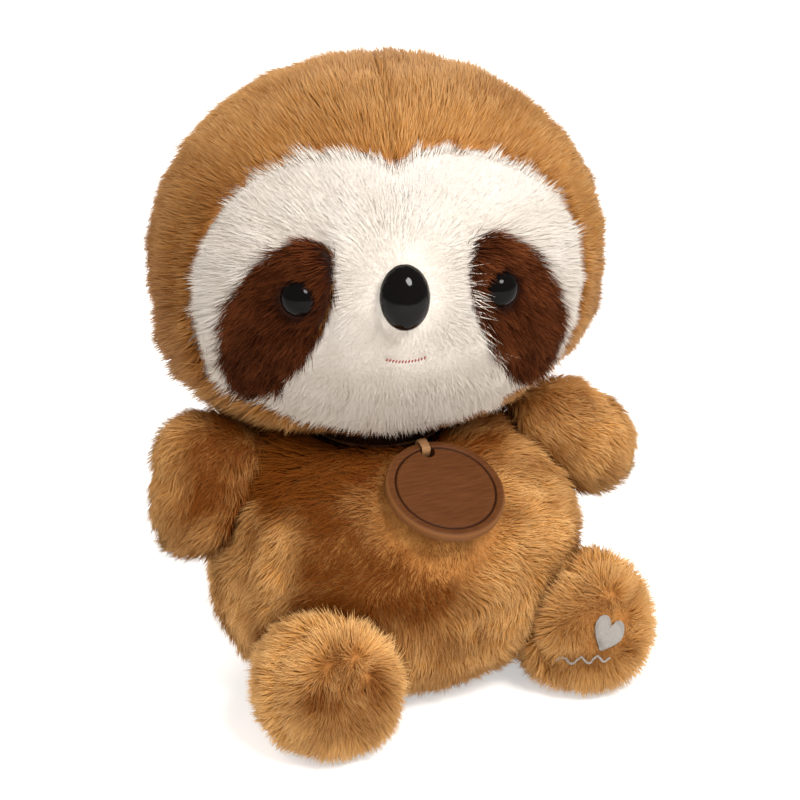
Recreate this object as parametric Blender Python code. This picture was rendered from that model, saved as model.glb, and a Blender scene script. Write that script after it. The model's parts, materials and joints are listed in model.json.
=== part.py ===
"""Small plush sloth, sitting, with its head turned and its soles showing.

Metres, +Z up, front of the toy towards -Y, its left side towards +X. The origin lies on the floor
under the middle of the body. Each limb and the head turn about the centre of a stuffed ball that
sits in a dish of its neighbour, as a sewn joint gives at its seam.
"""
import math

import bmesh
import bpy
from mathutils import Matrix, Vector

MM = 0.001

# Fabric and fits
FABRIC = 2.2 * MM
SEAM_GAP = 0.3 * MM
FLOOR_CUT = 2.0 * MM
OVERRUN = 6.0 * MM
BIG = 300.0 * MM

# Head
HEAD_HALF_WIDTH = 69.5 * MM
HEAD_HALF_DEPTH = 58.5 * MM
HEAD_HALF_HEIGHT = 59.8 * MM
HEAD_TURN = math.radians(-17.6)
HEAD_BACK = math.radians(7.4)
MUZZLE_RISE = 4.0 * MM
MUZZLE_HALF_WIDTH = 27.0 * MM
MUZZLE_HALF_HEIGHT = 23.0 * MM
MUZZLE_DROP = 17.0 * MM
JOWL_SHARE = 0.035
JOWL_HEIGHT_SHARE = -0.55
JOWL_SPREAD_SHARE = 0.32
PANEL_BACK = 4.0 * MM

# Neck
NECK_RADIUS = 20.0 * MM
NECK_SET_BACK = 12.0 * MM
NECK_SINK = 4.1 * MM
NOD_CLEARANCE = 5.0 * MM
NECK_THREAD = 1.0 * MM

# Body
TORSO_HALF_WIDTH = 60.5 * MM
TORSO_HALF_DEPTH = 49.0 * MM
TORSO_LOW_HALF = 41.0 * MM
TORSO_HIGH_HALF = 45.0 * MM
TORSO_MIDDLE_Y = -1.5 * MM
TORSO_LEAN = 8.0 * MM
TORSO_LOW_FULLNESS = 2.4
TORSO_HIGH_FULLNESS = 2.5
SIDE_SEAM_Y = 3.0 * MM

# Arms, in a frame that is twisted about the upright axis like the shoulders
SHOULDER_TWIST = math.radians(-7.0)
SHOULDER_HEIGHT_SHARE = 0.718
SHOULDER_AZIMUTH = math.radians(92.0)
SHOULDER_OFFSET = 5.0 * MM
SHOULDER_RADIUS = 12.0 * MM
ARM_ELBOW_RADIUS = 13.5 * MM
LEFT_ELBOW_OUT = 9.0 * MM
LEFT_ELBOW_UP = 2.0 * MM
RIGHT_ELBOW_OUT = 7.5 * MM
RIGHT_ELBOW_UP = 8.5 * MM
ARM_HAND_RADIUS = 13.5 * MM
ARM_LENGTH = 17.6 * MM
ARM_HAND_FRONT = 5.0 * MM
LEFT_ARM_DROP = math.radians(22.0)
RIGHT_ARM_DROP = math.radians(38.0)
ARM_SWING = (math.radians(-10.0), math.radians(30.0))

# Legs
HIP_TWIST = math.radians(2.5)
HIP_AZIMUTH = math.radians(48.0)
HIP_OFFSET = 5.0 * MM
HIP_RADIUS = 18.5 * MM
LEG_LENGTH = 7.0 * MM
LEG_SPLAY = math.radians(6.0)
LEG_SWING = (0.0, math.radians(25.0))
FOOT_RADIUS = 22.2 * MM
FOOT_NARROW_SHARE = 0.95
SOLE_TURN = math.radians(-6.0)
SOLE_SPLAY = math.radians(-2.0)
SOLE_TILT = math.radians(12.0)
SOLE_DEPTH = 10.5 * MM

LIMB_OPENING_SHARE = 0.5
CLEARING_STEPS = 3
CLEARING_GAP = 0.9 * MM

# Embroidery on the left sole
HEART_WIDTH = 10.5 * MM
HEART_HEIGHT = 11.5 * MM
HEART_THICKNESS = 0.8 * MM
HEART_LIFT = 0.5 * MM
HEART_SIDE = 0.8 * MM
HEART_TURN = math.radians(-28.0)
THREAD_RADIUS = 0.45 * MM
STITCH_LENGTH = 15.0 * MM
STITCH_WAVE = 1.3 * MM
STITCH_DROP = 7.5 * MM
STITCH_SIDE = -6.5 * MM

# Eyes and nose
EYE_RADIUS = 5.8 * MM
EYE_HEIGHT = 4.2 * MM
SHANK_RADIUS = 1.8 * MM
SHANK_LENGTH = 9.0 * MM
SHANK_CLEARANCE = 0.3 * MM
NOSE_HALF_WIDTH = 8.0 * MM
NOSE_HALF_HEIGHT = 10.5 * MM
NOSE_HEIGHT = 6.5 * MM
WASHER_RADIUS = 6.0 * MM
WASHER_THICKNESS = 1.2 * MM
WASHER_SET_IN = 2.8 * MM
MOUTH_WIDTH = 11.0 * MM
MOUTH_SAG = 0.9 * MM

# Tag
TAG_RADIUS = 19.1 * MM
TAG_THICKNESS = 3.6 * MM
TAG_EDGE = 0.9 * MM
TAG_GROOVE_RADIUS = 16.0 * MM
TAG_GROOVE_WIDTH = 0.7 * MM
TAG_GROOVE_DEPTH = 0.5 * MM
TAG_HOLE_RADIUS = 2.4 * MM
TAG_HOLE_TO_EDGE = 5.2 * MM
TAG_ANCHOR_DROP = 5.2 * MM
TAG_HANG = 7.5 * MM
TAG_SIDE = -1.0 * MM
TAG_OFF_CHEST = 3.0 * MM
TAG_TURN = math.radians(-1.0)
TAG_LIE = math.radians(11.0)
STRAP_WIDTH = 3.2 * MM
STRAP_THICKNESS = 0.9 * MM

# Numbers of facets
HEAD_SIDES = 26
HEAD_RINGS = 13
INNER_SIDES = 18
INNER_RINGS = 10
TORSO_SIDES = 22
TORSO_RINGS = 11
BALL_SIDES = 14
BALL_RINGS = 8
CUTTER_SIDES = 18
CUTTER_RINGS = 9
OUTLINE_COUNT = 32
SMALL_SIDES = 14
THREAD_SIDES = 6

# Outlines on the face, half of each, as shares of the head's half width and half height
FACE_SHARES = [
    (0.0, 0.525), (0.10, 0.60), (0.28, 0.60), (0.45, 0.555), (0.60, 0.46), (0.72, 0.33),
    (0.795, 0.18), (0.835, 0.0), (0.84, -0.19), (0.825, -0.38), (0.775, -0.54), (0.69, -0.645),
    (0.53, -0.695), (0.43, -0.755), (0.26, -0.815), (0.0, -0.86),
]
EYE_PATCH_SHARES = [
    (0.305, 0.17), (0.395, 0.195), (0.51, 0.145), (0.60, 0.05), (0.68, -0.08), (0.725, -0.20),
    (0.737, -0.34), (0.723, -0.49), (0.67, -0.605), (0.59, -0.635), (0.51, -0.56),
    (0.435, -0.42), (0.355, -0.25), (0.305, -0.08), (0.285, 0.07),
]
EYE_SHARE = (0.436, -0.07)
NOSE_SHARE = (0.0, -0.06)
MOUTH_SHARE = (0.01, -0.40)

# Half of the heart, as shares of its half width and half height, from the notch to the tip
HEART_SHARES = [
    (0.0, 0.55), (0.18, 0.86), (0.50, 1.0), (0.83, 0.86), (1.0, 0.48), (0.93, 0.05),
    (0.62, -0.42), (0.28, -0.78), (0.0, -1.0),
]

COLOURS = {
    "brown_plush": (0.47, 0.22, 0.075, 0.95),
    "white_plush": (0.85, 0.79, 0.72, 0.95),
    "dark_plush": (0.07, 0.022, 0.010, 0.95),
    "fibre_fill": (0.88, 0.88, 0.86, 1.0),
    "black_plastic": (0.008, 0.007, 0.007, 0.12),
    "washer_plastic": (0.75, 0.75, 0.73, 0.45),
    "pink_thread": (0.55, 0.22, 0.18, 0.8),
    "silver_thread": (0.58, 0.54, 0.50, 0.7),
    "seam_thread": (0.20, 0.085, 0.030, 0.9),
    "tag_wood": (0.20, 0.075, 0.035, 0.5),
    "strap_cord": (0.33, 0.14, 0.045, 0.7),
}


def clear_scene():
    for item in list(bpy.data.objects):
        bpy.data.objects.remove(item, do_unlink=True)


def material(name):
    found = bpy.data.materials.get(name)
    if found:
        return found
    made = bpy.data.materials.new(name)
    made.use_nodes = True
    shader = made.node_tree.nodes["Principled BSDF"]
    red, green, blue, roughness = COLOURS[name]
    shader.inputs["Base Color"].default_value = (red, green, blue, 1.0)
    shader.inputs["Roughness"].default_value = roughness
    return made


# Building and cutting solids

def add_object(name, shape, finish=None):
    bmesh.ops.recalc_face_normals(shape, faces=shape.faces[:])
    mesh = bpy.data.meshes.new(name)
    shape.to_mesh(mesh)
    shape.free()
    made = bpy.data.objects.new(name, mesh)
    bpy.context.scene.collection.objects.link(made)
    if finish:
        mesh.materials.append(material(finish))
    return made


def copy_of(source, name):
    made = source.copy()
    made.data = source.data.copy()
    made.name = name
    bpy.context.scene.collection.objects.link(made)
    return made


def combine(target, tool, operation="DIFFERENCE", keep_tool=False):
    """Apply one exact Boolean to target, and remove the tool unless it is needed again."""
    step = target.modifiers.new("cut", "BOOLEAN")
    step.operation = operation
    step.solver = "EXACT"
    step.object = tool
    bpy.context.view_layer.update()
    graph = bpy.context.evaluated_depsgraph_get()
    result = bpy.data.meshes.new_from_object(target.evaluated_get(graph))
    target.modifiers.clear()
    target.data = result
    if not keep_tool:
        bpy.data.objects.remove(tool, do_unlink=True)
    return target


def finish_piece(piece, finish):
    piece.data.materials.clear()
    piece.data.materials.append(material(finish))
    piece.data.shade_smooth()
    piece.data.set_sharp_from_angle(angle=math.radians(40.0))
    return piece


def ball_shape(centre, radius, sides=BALL_SIDES, rings=BALL_RINGS):
    shape = bmesh.new()
    place = Matrix.Translation(centre) @ Matrix.Scale(radius, 4)
    bmesh.ops.create_uvsphere(shape, u_segments=sides, v_segments=rings, radius=1.0, matrix=place)
    return shape


def outer_ball(centre, radius):
    """A ball whose flat facets stay outside the given radius."""
    swell = 1.0 / (math.cos(math.pi / CUTTER_SIDES) * math.cos(math.pi / (2 * CUTTER_RINGS)))
    return ball_shape(centre, radius * swell, CUTTER_SIDES, CUTTER_RINGS)


def ball_cutter(centre, radius):
    return add_object("cutter", outer_ball(centre, radius))


def capsule(balls, inset):
    """The smooth skin round a row of balls, each given by its centre, radius and narrowing across X."""
    points = []
    for centre, radius, narrow in balls:
        ball = ball_shape((0, 0, 0), 1.0)
        for vertex in ball.verts:
            size = Vector((radius * narrow - inset, radius - inset, radius - inset))
            points.append(centre + vertex.co * size)
        ball.free()
    shape = bmesh.new()
    corners = [shape.verts.new(point) for point in points]
    hull = bmesh.ops.convex_hull(shape, input=corners)
    spare = {item for item in hull["geom_interior"] + hull["geom_unused"]
             if isinstance(item, bmesh.types.BMVert)}
    bmesh.ops.delete(shape, geom=list(spare), context="VERTS")
    return shape


def rod_cutter(start, end, radius, sides=SMALL_SIDES):
    way = end - start
    shape = bmesh.new()
    turn = way.to_track_quat("Z", "Y").to_matrix().to_4x4()
    place = Matrix.Translation((start + end) / 2) @ turn
    bmesh.ops.create_cone(shape, cap_ends=True, segments=sides, radius1=radius, radius2=radius,
                          depth=way.length, matrix=place)
    return add_object("cutter", shape)


def block_cutter(low, high, place=Matrix.Identity(4)):
    middle = (Vector(low) + Vector(high)) / 2
    size = Vector(high) - Vector(low)
    shape = bmesh.new()
    bmesh.ops.create_cube(shape, size=1.0,
                          matrix=place @ Matrix.Translation(middle) @ Matrix.Diagonal((*size, 1.0)))
    return add_object("cutter", shape)


def turned(profile, sides, place, squeeze=1.0):
    """A solid of revolution about its own Z, from (radius, height) points; squeeze narrows its X."""
    shape = bmesh.new()
    rings = []
    for radius, height in profile:
        if radius == 0:
            rings.append([shape.verts.new((0, 0, height))])
            continue
        ring = []
        for step in range(sides):
            angle = 2 * math.pi * step / sides
            ring.append(shape.verts.new((squeeze * radius * math.cos(angle), radius * math.sin(angle), height)))
        rings.append(ring)
    pairs = list(zip(rings, rings[1:]))
    if len(rings[0]) > 1:
        pairs.append((rings[-1], rings[0]))
    for near, far in pairs:
        for step in range(sides):
            after = (step + 1) % sides
            corners = [near[step % len(near)], near[after % len(near)], far[after % len(far)], far[step % len(far)]]
            shape.faces.new(list(dict.fromkeys(corners)))
    shape.transform(place)
    return shape


def tube(points, radius, sides=THREAD_SIDES, width_share=1.0, side_way=None, closed=False):
    """A thread or strap swept along points, with flat ends unless it is closed."""
    shape = bmesh.new()
    rings = []
    count = len(points)
    for index, point in enumerate(points):
        before = points[(index - 1) % count] if closed or index > 0 else point
        after = points[(index + 1) % count] if closed or index < count - 1 else point
        along = (after - before).normalized()
        across = side_way.normalized() if side_way else along.orthogonal().normalized()
        across = (across - along * across.dot(along)).normalized()
        third = along.cross(across)
        ring = []
        for step in range(sides):
            angle = 2 * math.pi * (step + 0.5) / sides
            offset = across * (math.cos(angle) * radius * width_share) + third * (math.sin(angle) * radius)
            ring.append(shape.verts.new(point + offset))
        rings.append(ring)
    pairs = list(zip(rings, rings[1:]))
    if closed:
        pairs.append((rings[-1], rings[0]))
    for near, far in pairs:
        for step in range(sides):
            after = (step + 1) % sides
            shape.faces.new((near[step], near[after], far[after], far[step]))
    if not closed:
        shape.faces.new(rings[0][::-1])
        shape.faces.new(rings[-1])
    return shape


# Outlines

def smooth_loop(points, count):
    """Evenly sampled closed curve through the points, each stretch a cubic."""
    samples = []
    size = len(points)
    for index in range(count):
        where = index * size / count
        corner = int(where)
        share = where - corner
        before, start, end, after = (Vector(points[(corner + shift) % size]) for shift in (-1, 0, 1, 2))
        samples.append(0.5 * (2 * start + (end - before) * share
                              + (2 * before - 5 * start + 4 * end - after) * share ** 2
                              + (3 * start - before - 3 * end + after) * share ** 3))
    return samples


def grown(outline, distance):
    """The closed outline moved out by a distance, for points that run clockwise."""
    size = len(outline)
    moved = []
    for index, point in enumerate(outline):
        way = (outline[(index + 1) % size] - outline[index - 1]).normalized()
        moved.append(point + Vector((-way.y, way.x)) * distance)
    return moved


def both_halves(shares):
    """A whole outline from its right half, whose first and last points lie on the middle line."""
    return shares + [(-x, z) for x, z in shares[-2:0:-1]]


def prism_cutter(outline, place, low, high):
    """The outline in the local XZ plane, filled and drawn out along the local Y."""
    shape = bmesh.new()
    front = [shape.verts.new((point.x, low, point.y)) for point in outline]
    back = [shape.verts.new((point.x, high, point.y)) for point in outline]
    shape.faces.new(front)
    shape.faces.new(back[::-1])
    for index in range(len(outline)):
        after = (index + 1) % len(outline)
        shape.faces.new((front[index], back[index], back[after], front[after]))
    shape.transform(place)
    return add_object("cutter", shape)


# Forms of the body and the head

TORSO_MIDDLE_Z = TORSO_LOW_HALF - FLOOR_CUT
NECK = Vector((0, NECK_SET_BACK, TORSO_MIDDLE_Z + TORSO_HIGH_HALF - NECK_SINK))
HEAD_MIDDLE = NECK + Vector((0, 0, HEAD_HALF_HEIGHT))
HEAD_PLACE = (Matrix.Translation(HEAD_MIDDLE) @ Matrix.Rotation(HEAD_TURN, 4, "Z")
              @ Matrix.Rotation(-HEAD_BACK, 4, "X"))


def half_and_fullness(rise):
    if rise < 0:
        return TORSO_LOW_HALF, TORSO_LOW_FULLNESS
    return TORSO_HIGH_HALF, TORSO_HIGH_FULLNESS


def torso_axis(rise):
    """The body's upper half leans back along a curve."""
    return TORSO_MIDDLE_Y + TORSO_LEAN * (max(rise, 0) / TORSO_HIGH_HALF) ** 2


def torso_place(azimuth, rise, spread, inset=0.0):
    """A point of the body: azimuth from the front, rise above its middle, spread from 0 to 1."""
    return Vector(((TORSO_HALF_WIDTH - inset) * spread * math.sin(azimuth),
                   torso_axis(rise) - (TORSO_HALF_DEPTH - inset) * spread * math.cos(azimuth),
                   TORSO_MIDDLE_Z + rise))


def torso_point(azimuth, rise):
    half, fullness = half_and_fullness(rise)
    spread = (1 - abs(rise / half) ** fullness) ** (1 / fullness)
    return torso_place(azimuth, rise, spread)


def torso_normal(point):
    """The outward direction at a point of the body's surface, from the slope of its formula."""
    rise = point.z - TORSO_MIDDLE_Z
    half, fullness = half_and_fullness(rise)
    depth = point.y - torso_axis(rise)
    spread = math.hypot(point.x / TORSO_HALF_WIDTH, depth / TORSO_HALF_DEPTH)
    pull = spread ** (fullness - 2)
    slope_x = pull * point.x / TORSO_HALF_WIDTH ** 2
    slope_y = pull * depth / TORSO_HALF_DEPTH ** 2
    slope_z = math.copysign(abs(rise / half) ** (fullness - 1) / half, rise)
    lean = 2 * TORSO_LEAN * max(rise, 0) / TORSO_HIGH_HALF ** 2
    return Vector((slope_x, slope_y, slope_z - lean * slope_y)).normalized()


def torso_shape(inset, sides, rings):
    shape = ball_shape((0, 0, 0), 1.0, sides, rings)
    for vertex in shape.verts:
        way = vertex.co.normalized()
        half, fullness = half_and_fullness(way.z)
        azimuth = math.atan2(way.x, -way.y)
        power = 2 / fullness
        rise = math.copysign(abs(way.z) ** power * (half - inset), way.z)
        vertex.co = torso_place(azimuth, rise, math.hypot(way.x, way.y) ** power, inset)
    return shape


def muzzle(x, z):
    """How far the muzzle stands forward of the plain head at a place on the face."""
    across = x / MUZZLE_HALF_WIDTH
    upward = (z + MUZZLE_DROP) / MUZZLE_HALF_HEIGHT
    return MUZZLE_RISE * math.exp(-across ** 2 - upward ** 2)


def head_local(way, inset=0.0):
    jowl = 1 + JOWL_SHARE * math.exp(-((way.z - JOWL_HEIGHT_SHARE) / JOWL_SPREAD_SHARE) ** 2)
    x = (HEAD_HALF_WIDTH * jowl - inset) * way.x
    y = (HEAD_HALF_DEPTH - inset) * way.y
    z = (HEAD_HALF_HEIGHT - inset) * way.z
    if way.y < 0:
        y -= muzzle(x, z) * min(1.0, 2 * abs(way.y))
    return Vector((x, y, z))


def head_shape(inset, sides, rings):
    shape = ball_shape((0, 0, 0), 1.0, sides, rings)
    for vertex in shape.verts:
        vertex.co = HEAD_PLACE @ head_local(vertex.co.normalized(), inset)
    return shape


def face_way(share):
    """The direction, from the head's middle, of a place on the face given by its two shares."""
    across, upward = share
    return Vector((across, -math.sqrt(1 - across ** 2 - upward ** 2), upward))


def face_frame(share):
    """A frame on the face whose Z points out of the skin and whose Y points up the face."""
    small = 0.01
    across, upward = share
    point = head_local(face_way(share))
    aside = head_local(face_way((across + small, upward))) - point
    above = head_local(face_way((across, upward + small))) - point
    out = aside.cross(above).normalized()
    side = Vector((0, 0, 1)).cross(out).normalized()
    turn = Matrix((side, out.cross(side), out)).transposed().to_4x4()
    return HEAD_PLACE @ Matrix.Translation(point) @ turn


def face_outline(shares, side=1.0):
    points = [(side * x * HEAD_HALF_WIDTH, z * HEAD_HALF_HEIGHT) for x, z in shares]
    return smooth_loop(points if side > 0 else points[::-1], OUTLINE_COUNT)


def face_cutter(outline, extra):
    return prism_cutter(grown(outline, extra), HEAD_PLACE, -HEAD_HALF_DEPTH - OVERRUN, -PANEL_BACK)


# Sockets that several pieces share

def side_name(side):
    return "left" if side > 0 else "right"


def mirrored(vector, side):
    return Vector((side * vector.x, vector.y, vector.z))


def shoulder(side):
    """Centres of the arm's root, elbow and hand."""
    root = torso_point(SHOULDER_AZIMUTH, SHOULDER_HEIGHT_SHARE * TORSO_HIGH_HALF)
    root = root + torso_normal(root) * SHOULDER_OFFSET
    drop, elbow_out, elbow_up = ((LEFT_ARM_DROP, LEFT_ELBOW_OUT, LEFT_ELBOW_UP) if side > 0
                                 else (RIGHT_ARM_DROP, RIGHT_ELBOW_OUT, RIGHT_ELBOW_UP))
    droop = Matrix.Rotation(drop, 3, "Y")
    elbow = root + droop @ Vector((elbow_out, 0, elbow_up))
    hand = root + droop @ Vector((ARM_LENGTH, -ARM_HAND_FRONT, 0))
    twist = Matrix.Rotation(SHOULDER_TWIST, 3, "Z")
    return [twist @ mirrored(point, side) for point in (root, elbow, hand)]


def hip(side):
    """Centres of the leg's root and foot."""
    rise = FOOT_RADIUS - FLOOR_CUT - TORSO_MIDDLE_Z
    root = torso_point(HIP_AZIMUTH, rise)
    out = torso_normal(root)
    root = root + Vector((out.x, out.y, 0)).normalized() * HIP_OFFSET
    foot = root + Vector((math.sin(LEG_SPLAY), -math.cos(LEG_SPLAY), 0)) * LEG_LENGTH
    twist = Matrix.Rotation(HIP_TWIST, 3, "Z")
    return [twist @ mirrored(point, side) for point in (root, foot)]


def socket_cutters():
    """The dishes for the neck, the shoulders and the hips."""
    yield ball_cutter(NECK, NECK_RADIUS + SEAM_GAP)
    for side in (1, -1):
        yield ball_cutter(shoulder(side)[0], SHOULDER_RADIUS + SEAM_GAP)
        yield ball_cutter(hip(side)[0], HIP_RADIUS + SEAM_GAP)


def floor_cutter():
    return block_cutter((-BIG, -BIG, -BIG), (BIG, BIG, 0))


def head_bowl_cutter():
    """The hollow in the top of the body that leaves the head room to nod and turn."""
    shape = ball_shape((0, 0, 0), 1.0, HEAD_SIDES, HEAD_RINGS)
    for vertex in shape.verts:
        way = vertex.co.copy()
        vertex.co = HEAD_MIDDLE + Vector((way.x * (HEAD_HALF_WIDTH + NOD_CLEARANCE),
                                          way.y * (HEAD_HALF_WIDTH + NOD_CLEARANCE),
                                          way.z * (HEAD_HALF_HEIGHT + NOD_CLEARANCE)))
    return add_object("cutter", shape)


# Head

def head_shell():
    shell = add_object("shell", head_shape(0.0, HEAD_SIDES, HEAD_RINGS))
    combine(shell, add_object("cutter", head_shape(FABRIC, INNER_SIDES, INNER_RINGS)))
    return combine(shell, ball_cutter(NECK, NECK_RADIUS + SEAM_GAP))


def make_hood(shell):
    for side in (1, -1):
        half = copy_of(shell, "hood_" + side_name(side))
        low, high = (-BIG, SEAM_GAP / 2) if side > 0 else (-SEAM_GAP / 2, BIG)
        combine(half, block_cutter((low, -BIG, -BIG), (high, BIG, BIG), HEAD_PLACE))
        combine(half, face_cutter(face_outline(both_halves(FACE_SHARES)), SEAM_GAP))
        finish_piece(half, "brown_plush")


def shank_cutter(share):
    place = face_frame(share)
    start = place @ Vector((0, 0, OVERRUN))
    end = place @ Vector((0, 0, -SHANK_LENGTH - OVERRUN))
    return rod_cutter(start, end, SHANK_RADIUS + SHANK_CLEARANCE)


def eye_share(side):
    return (side * EYE_SHARE[0], EYE_SHARE[1])


def make_face(shell):
    face = copy_of(shell, "face_panel")
    combine(face, face_cutter(face_outline(both_halves(FACE_SHARES)), 0.0), "INTERSECT")
    for side in (1, -1):
        outline = face_outline(EYE_PATCH_SHARES, side)
        combine(face, face_cutter(outline, SEAM_GAP))
        patch = copy_of(shell, "eye_patch_" + side_name(side))
        combine(patch, face_cutter(outline, 0.0), "INTERSECT")
        combine(patch, shank_cutter(eye_share(side)))
        finish_piece(patch, "dark_plush")
    combine(face, shank_cutter(NOSE_SHARE))
    finish_piece(face, "white_plush")


def washer_depth():
    return FABRIC + WASHER_SET_IN


def make_button(name, share, radius, height, squeeze=1.0):
    """A moulded dome whose flange lies on the plush, on a shank that goes through it."""
    foot = SEAM_GAP + (radius ** 2) / (2 * HEAD_HALF_DEPTH)
    steps = 6
    profile = [(0, foot + height)]
    for step in range(1, steps):
        angle = math.pi / 2 * step / steps
        profile.append((radius * math.sin(angle), foot + height * math.cos(angle)))
    profile += [(radius, foot), (SHANK_RADIUS, foot - height * 0.1),
                (SHANK_RADIUS, -SHANK_LENGTH), (0, -SHANK_LENGTH)]
    shape = turned(profile, SMALL_SIDES, face_frame(share), squeeze)
    finish_piece(add_object(name, shape), "black_plastic")


def make_washer(name, share):
    top = -washer_depth()
    inner = SHANK_RADIUS + SHANK_CLEARANCE
    profile = [(inner, top), (WASHER_RADIUS, top), (WASHER_RADIUS, top - WASHER_THICKNESS),
               (inner, top - WASHER_THICKNESS)]
    shape = turned(profile, SMALL_SIDES, face_frame(share))
    finish_piece(add_object(name, shape), "washer_plastic")


def make_mouth():
    points = []
    steps = 6
    for step in range(steps + 1):
        share = 2 * step / steps - 1
        across = MOUTH_SHARE[0] + share * MOUTH_WIDTH / 2 / HEAD_HALF_WIDTH
        upward = MOUTH_SHARE[1] + MOUTH_SAG * share ** 2 / HEAD_HALF_HEIGHT
        place = face_frame((across, upward))
        points.append(place @ Vector((0, 0, THREAD_RADIUS + SEAM_GAP)))
    finish_piece(add_object("mouth_stitch", tube(points, THREAD_RADIUS)), "pink_thread")


def make_head_stuffing():
    stuffing = add_object("head_stuffing", head_shape(FABRIC + SEAM_GAP, INNER_SIDES, INNER_RINGS))
    combine(stuffing, ball_cutter(NECK, NECK_RADIUS + SEAM_GAP))
    for share in (eye_share(1), eye_share(-1), NOSE_SHARE):
        place = face_frame(share)
        deep = place @ Vector((0, 0, -SHANK_LENGTH - SEAM_GAP))
        floor = place @ Vector((0, 0, -washer_depth() - WASHER_THICKNESS - SEAM_GAP))
        mouth = place @ Vector((0, 0, OVERRUN))
        combine(stuffing, rod_cutter(mouth, deep, SHANK_RADIUS + SHANK_CLEARANCE))
        combine(stuffing, rod_cutter(mouth, floor, WASHER_RADIUS + SEAM_GAP))
    finish_piece(stuffing, "fibre_fill")


def make_head():
    shell = head_shell()
    make_hood(shell)
    make_face(shell)
    bpy.data.objects.remove(shell, do_unlink=True)
    make_head_stuffing()
    make_mouth()
    for side in (1, -1):
        make_button("eye_" + side_name(side), eye_share(side), EYE_RADIUS, EYE_HEIGHT)
        make_washer("eye_washer_" + side_name(side), eye_share(side))
    make_button("nose", NOSE_SHARE, NOSE_HALF_HEIGHT, NOSE_HEIGHT, NOSE_HALF_WIDTH / NOSE_HALF_HEIGHT)
    make_washer("nose_washer", NOSE_SHARE)


# Neck and body

def make_neck():
    finish_piece(add_object("neck_stuffing", ball_shape(NECK, NECK_RADIUS)), "fibre_fill")
    ring_radius = NECK_RADIUS + SEAM_GAP + NECK_THREAD / 2
    bowl_drop = NOD_CLEARANCE - ring_radius ** 2 * HEAD_HALF_HEIGHT / (2 * HEAD_HALF_WIDTH ** 2)
    height = NECK.z - bowl_drop + SEAM_GAP + NECK_THREAD
    points = []
    for step in range(BALL_SIDES):
        angle = 2 * math.pi * step / BALL_SIDES
        points.append(Vector((ring_radius * math.cos(angle), NECK.y + ring_radius * math.sin(angle), height)))
    thread = tube(points, NECK_THREAD / 2, side_way=Vector((0, 0, 1)), closed=True)
    finish_piece(add_object("neck_seam", thread), "seam_thread")


def make_torso():
    shell = add_object("shell", torso_shape(0.0, TORSO_SIDES, TORSO_RINGS))
    combine(shell, add_object("cutter", torso_shape(FABRIC, INNER_SIDES, INNER_RINGS)))
    stuffing = add_object("body_stuffing", torso_shape(FABRIC + SEAM_GAP, INNER_SIDES, INNER_RINGS))
    cutters = [head_bowl_cutter(), floor_cutter(), *socket_cutters()]
    for cutter in cutters:
        combine(shell, cutter, keep_tool=True)
        combine(stuffing, cutter)
    for name, low, high in (("torso_front", SIDE_SEAM_Y - SEAM_GAP / 2, BIG),
                            ("torso_back", -BIG, SIDE_SEAM_Y + SEAM_GAP / 2)):
        panel = copy_of(shell, name)
        combine(panel, block_cutter((-BIG, low, -BIG), (BIG, high, BIG)))
        finish_piece(panel, "brown_plush")
    bpy.data.objects.remove(shell, do_unlink=True)
    finish_piece(stuffing, "fibre_fill")


# Limbs

def limb_form(name, limb, inset):
    """The limb's swelling form, kept clear of the body all through its swing, on its round root."""
    form = add_object(name, capsule(limb["balls"], inset))
    root, radius = limb["root"], limb["radius"]
    low, high = limb["swing"]
    for step in range(CLEARING_STEPS):
        body = torso_shape(-CLEARING_GAP - inset, TORSO_SIDES, TORSO_RINGS)
        swing = low + (high - low) * step / (CLEARING_STEPS - 1)
        back = Matrix.Rotation(-swing, 4, limb["axis"])
        body.transform(Matrix.Translation(root) @ back @ Matrix.Translation(-root))
        combine(form, add_object("cutter", body))
    return combine(form, add_object("cutter", ball_shape(root, radius - inset)), "UNION")


def limb_opening(root, toward, radius):
    """The hole at the seam, where the limb is filled before it is sewn on."""
    inward = (root - toward).normalized()
    return rod_cutter(root, root + inward * (radius + OVERRUN), radius * LIMB_OPENING_SHARE)


def make_skin(name, limb, toward):
    skin = limb_form(name, limb, 0.0)
    combine(skin, limb_form("cutter", limb, FABRIC))
    combine(skin, limb_opening(limb["root"], toward, limb["radius"]))
    return skin


def make_arm(side):
    root, elbow, hand = shoulder(side)
    axis = Matrix.Rotation(SHOULDER_TWIST, 3, "Z") @ Vector((0, -side, 0))
    balls = [(root, SHOULDER_RADIUS - SEAM_GAP, 1), (elbow, ARM_ELBOW_RADIUS, 1), (hand, ARM_HAND_RADIUS, 1)]
    limb = {"root": root, "radius": SHOULDER_RADIUS, "axis": axis, "swing": ARM_SWING, "balls": balls}
    skin = make_skin("arm_" + side_name(side), limb, elbow)
    finish_piece(skin, "brown_plush")
    stuffing = limb_form("arm_stuffing_" + side_name(side), limb, FABRIC + SEAM_GAP)
    finish_piece(stuffing, "fibre_fill")


def sole_frame(side):
    """A frame at the foot's centre: Y points into the foot, away from the sole, and Z up the sole."""
    turn = Matrix.Rotation(SOLE_TURN + side * SOLE_SPLAY, 4, "Z") @ Matrix.Rotation(-SOLE_TILT, 4, "X")
    return Matrix.Translation(hip(side)[1]) @ turn


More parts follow.
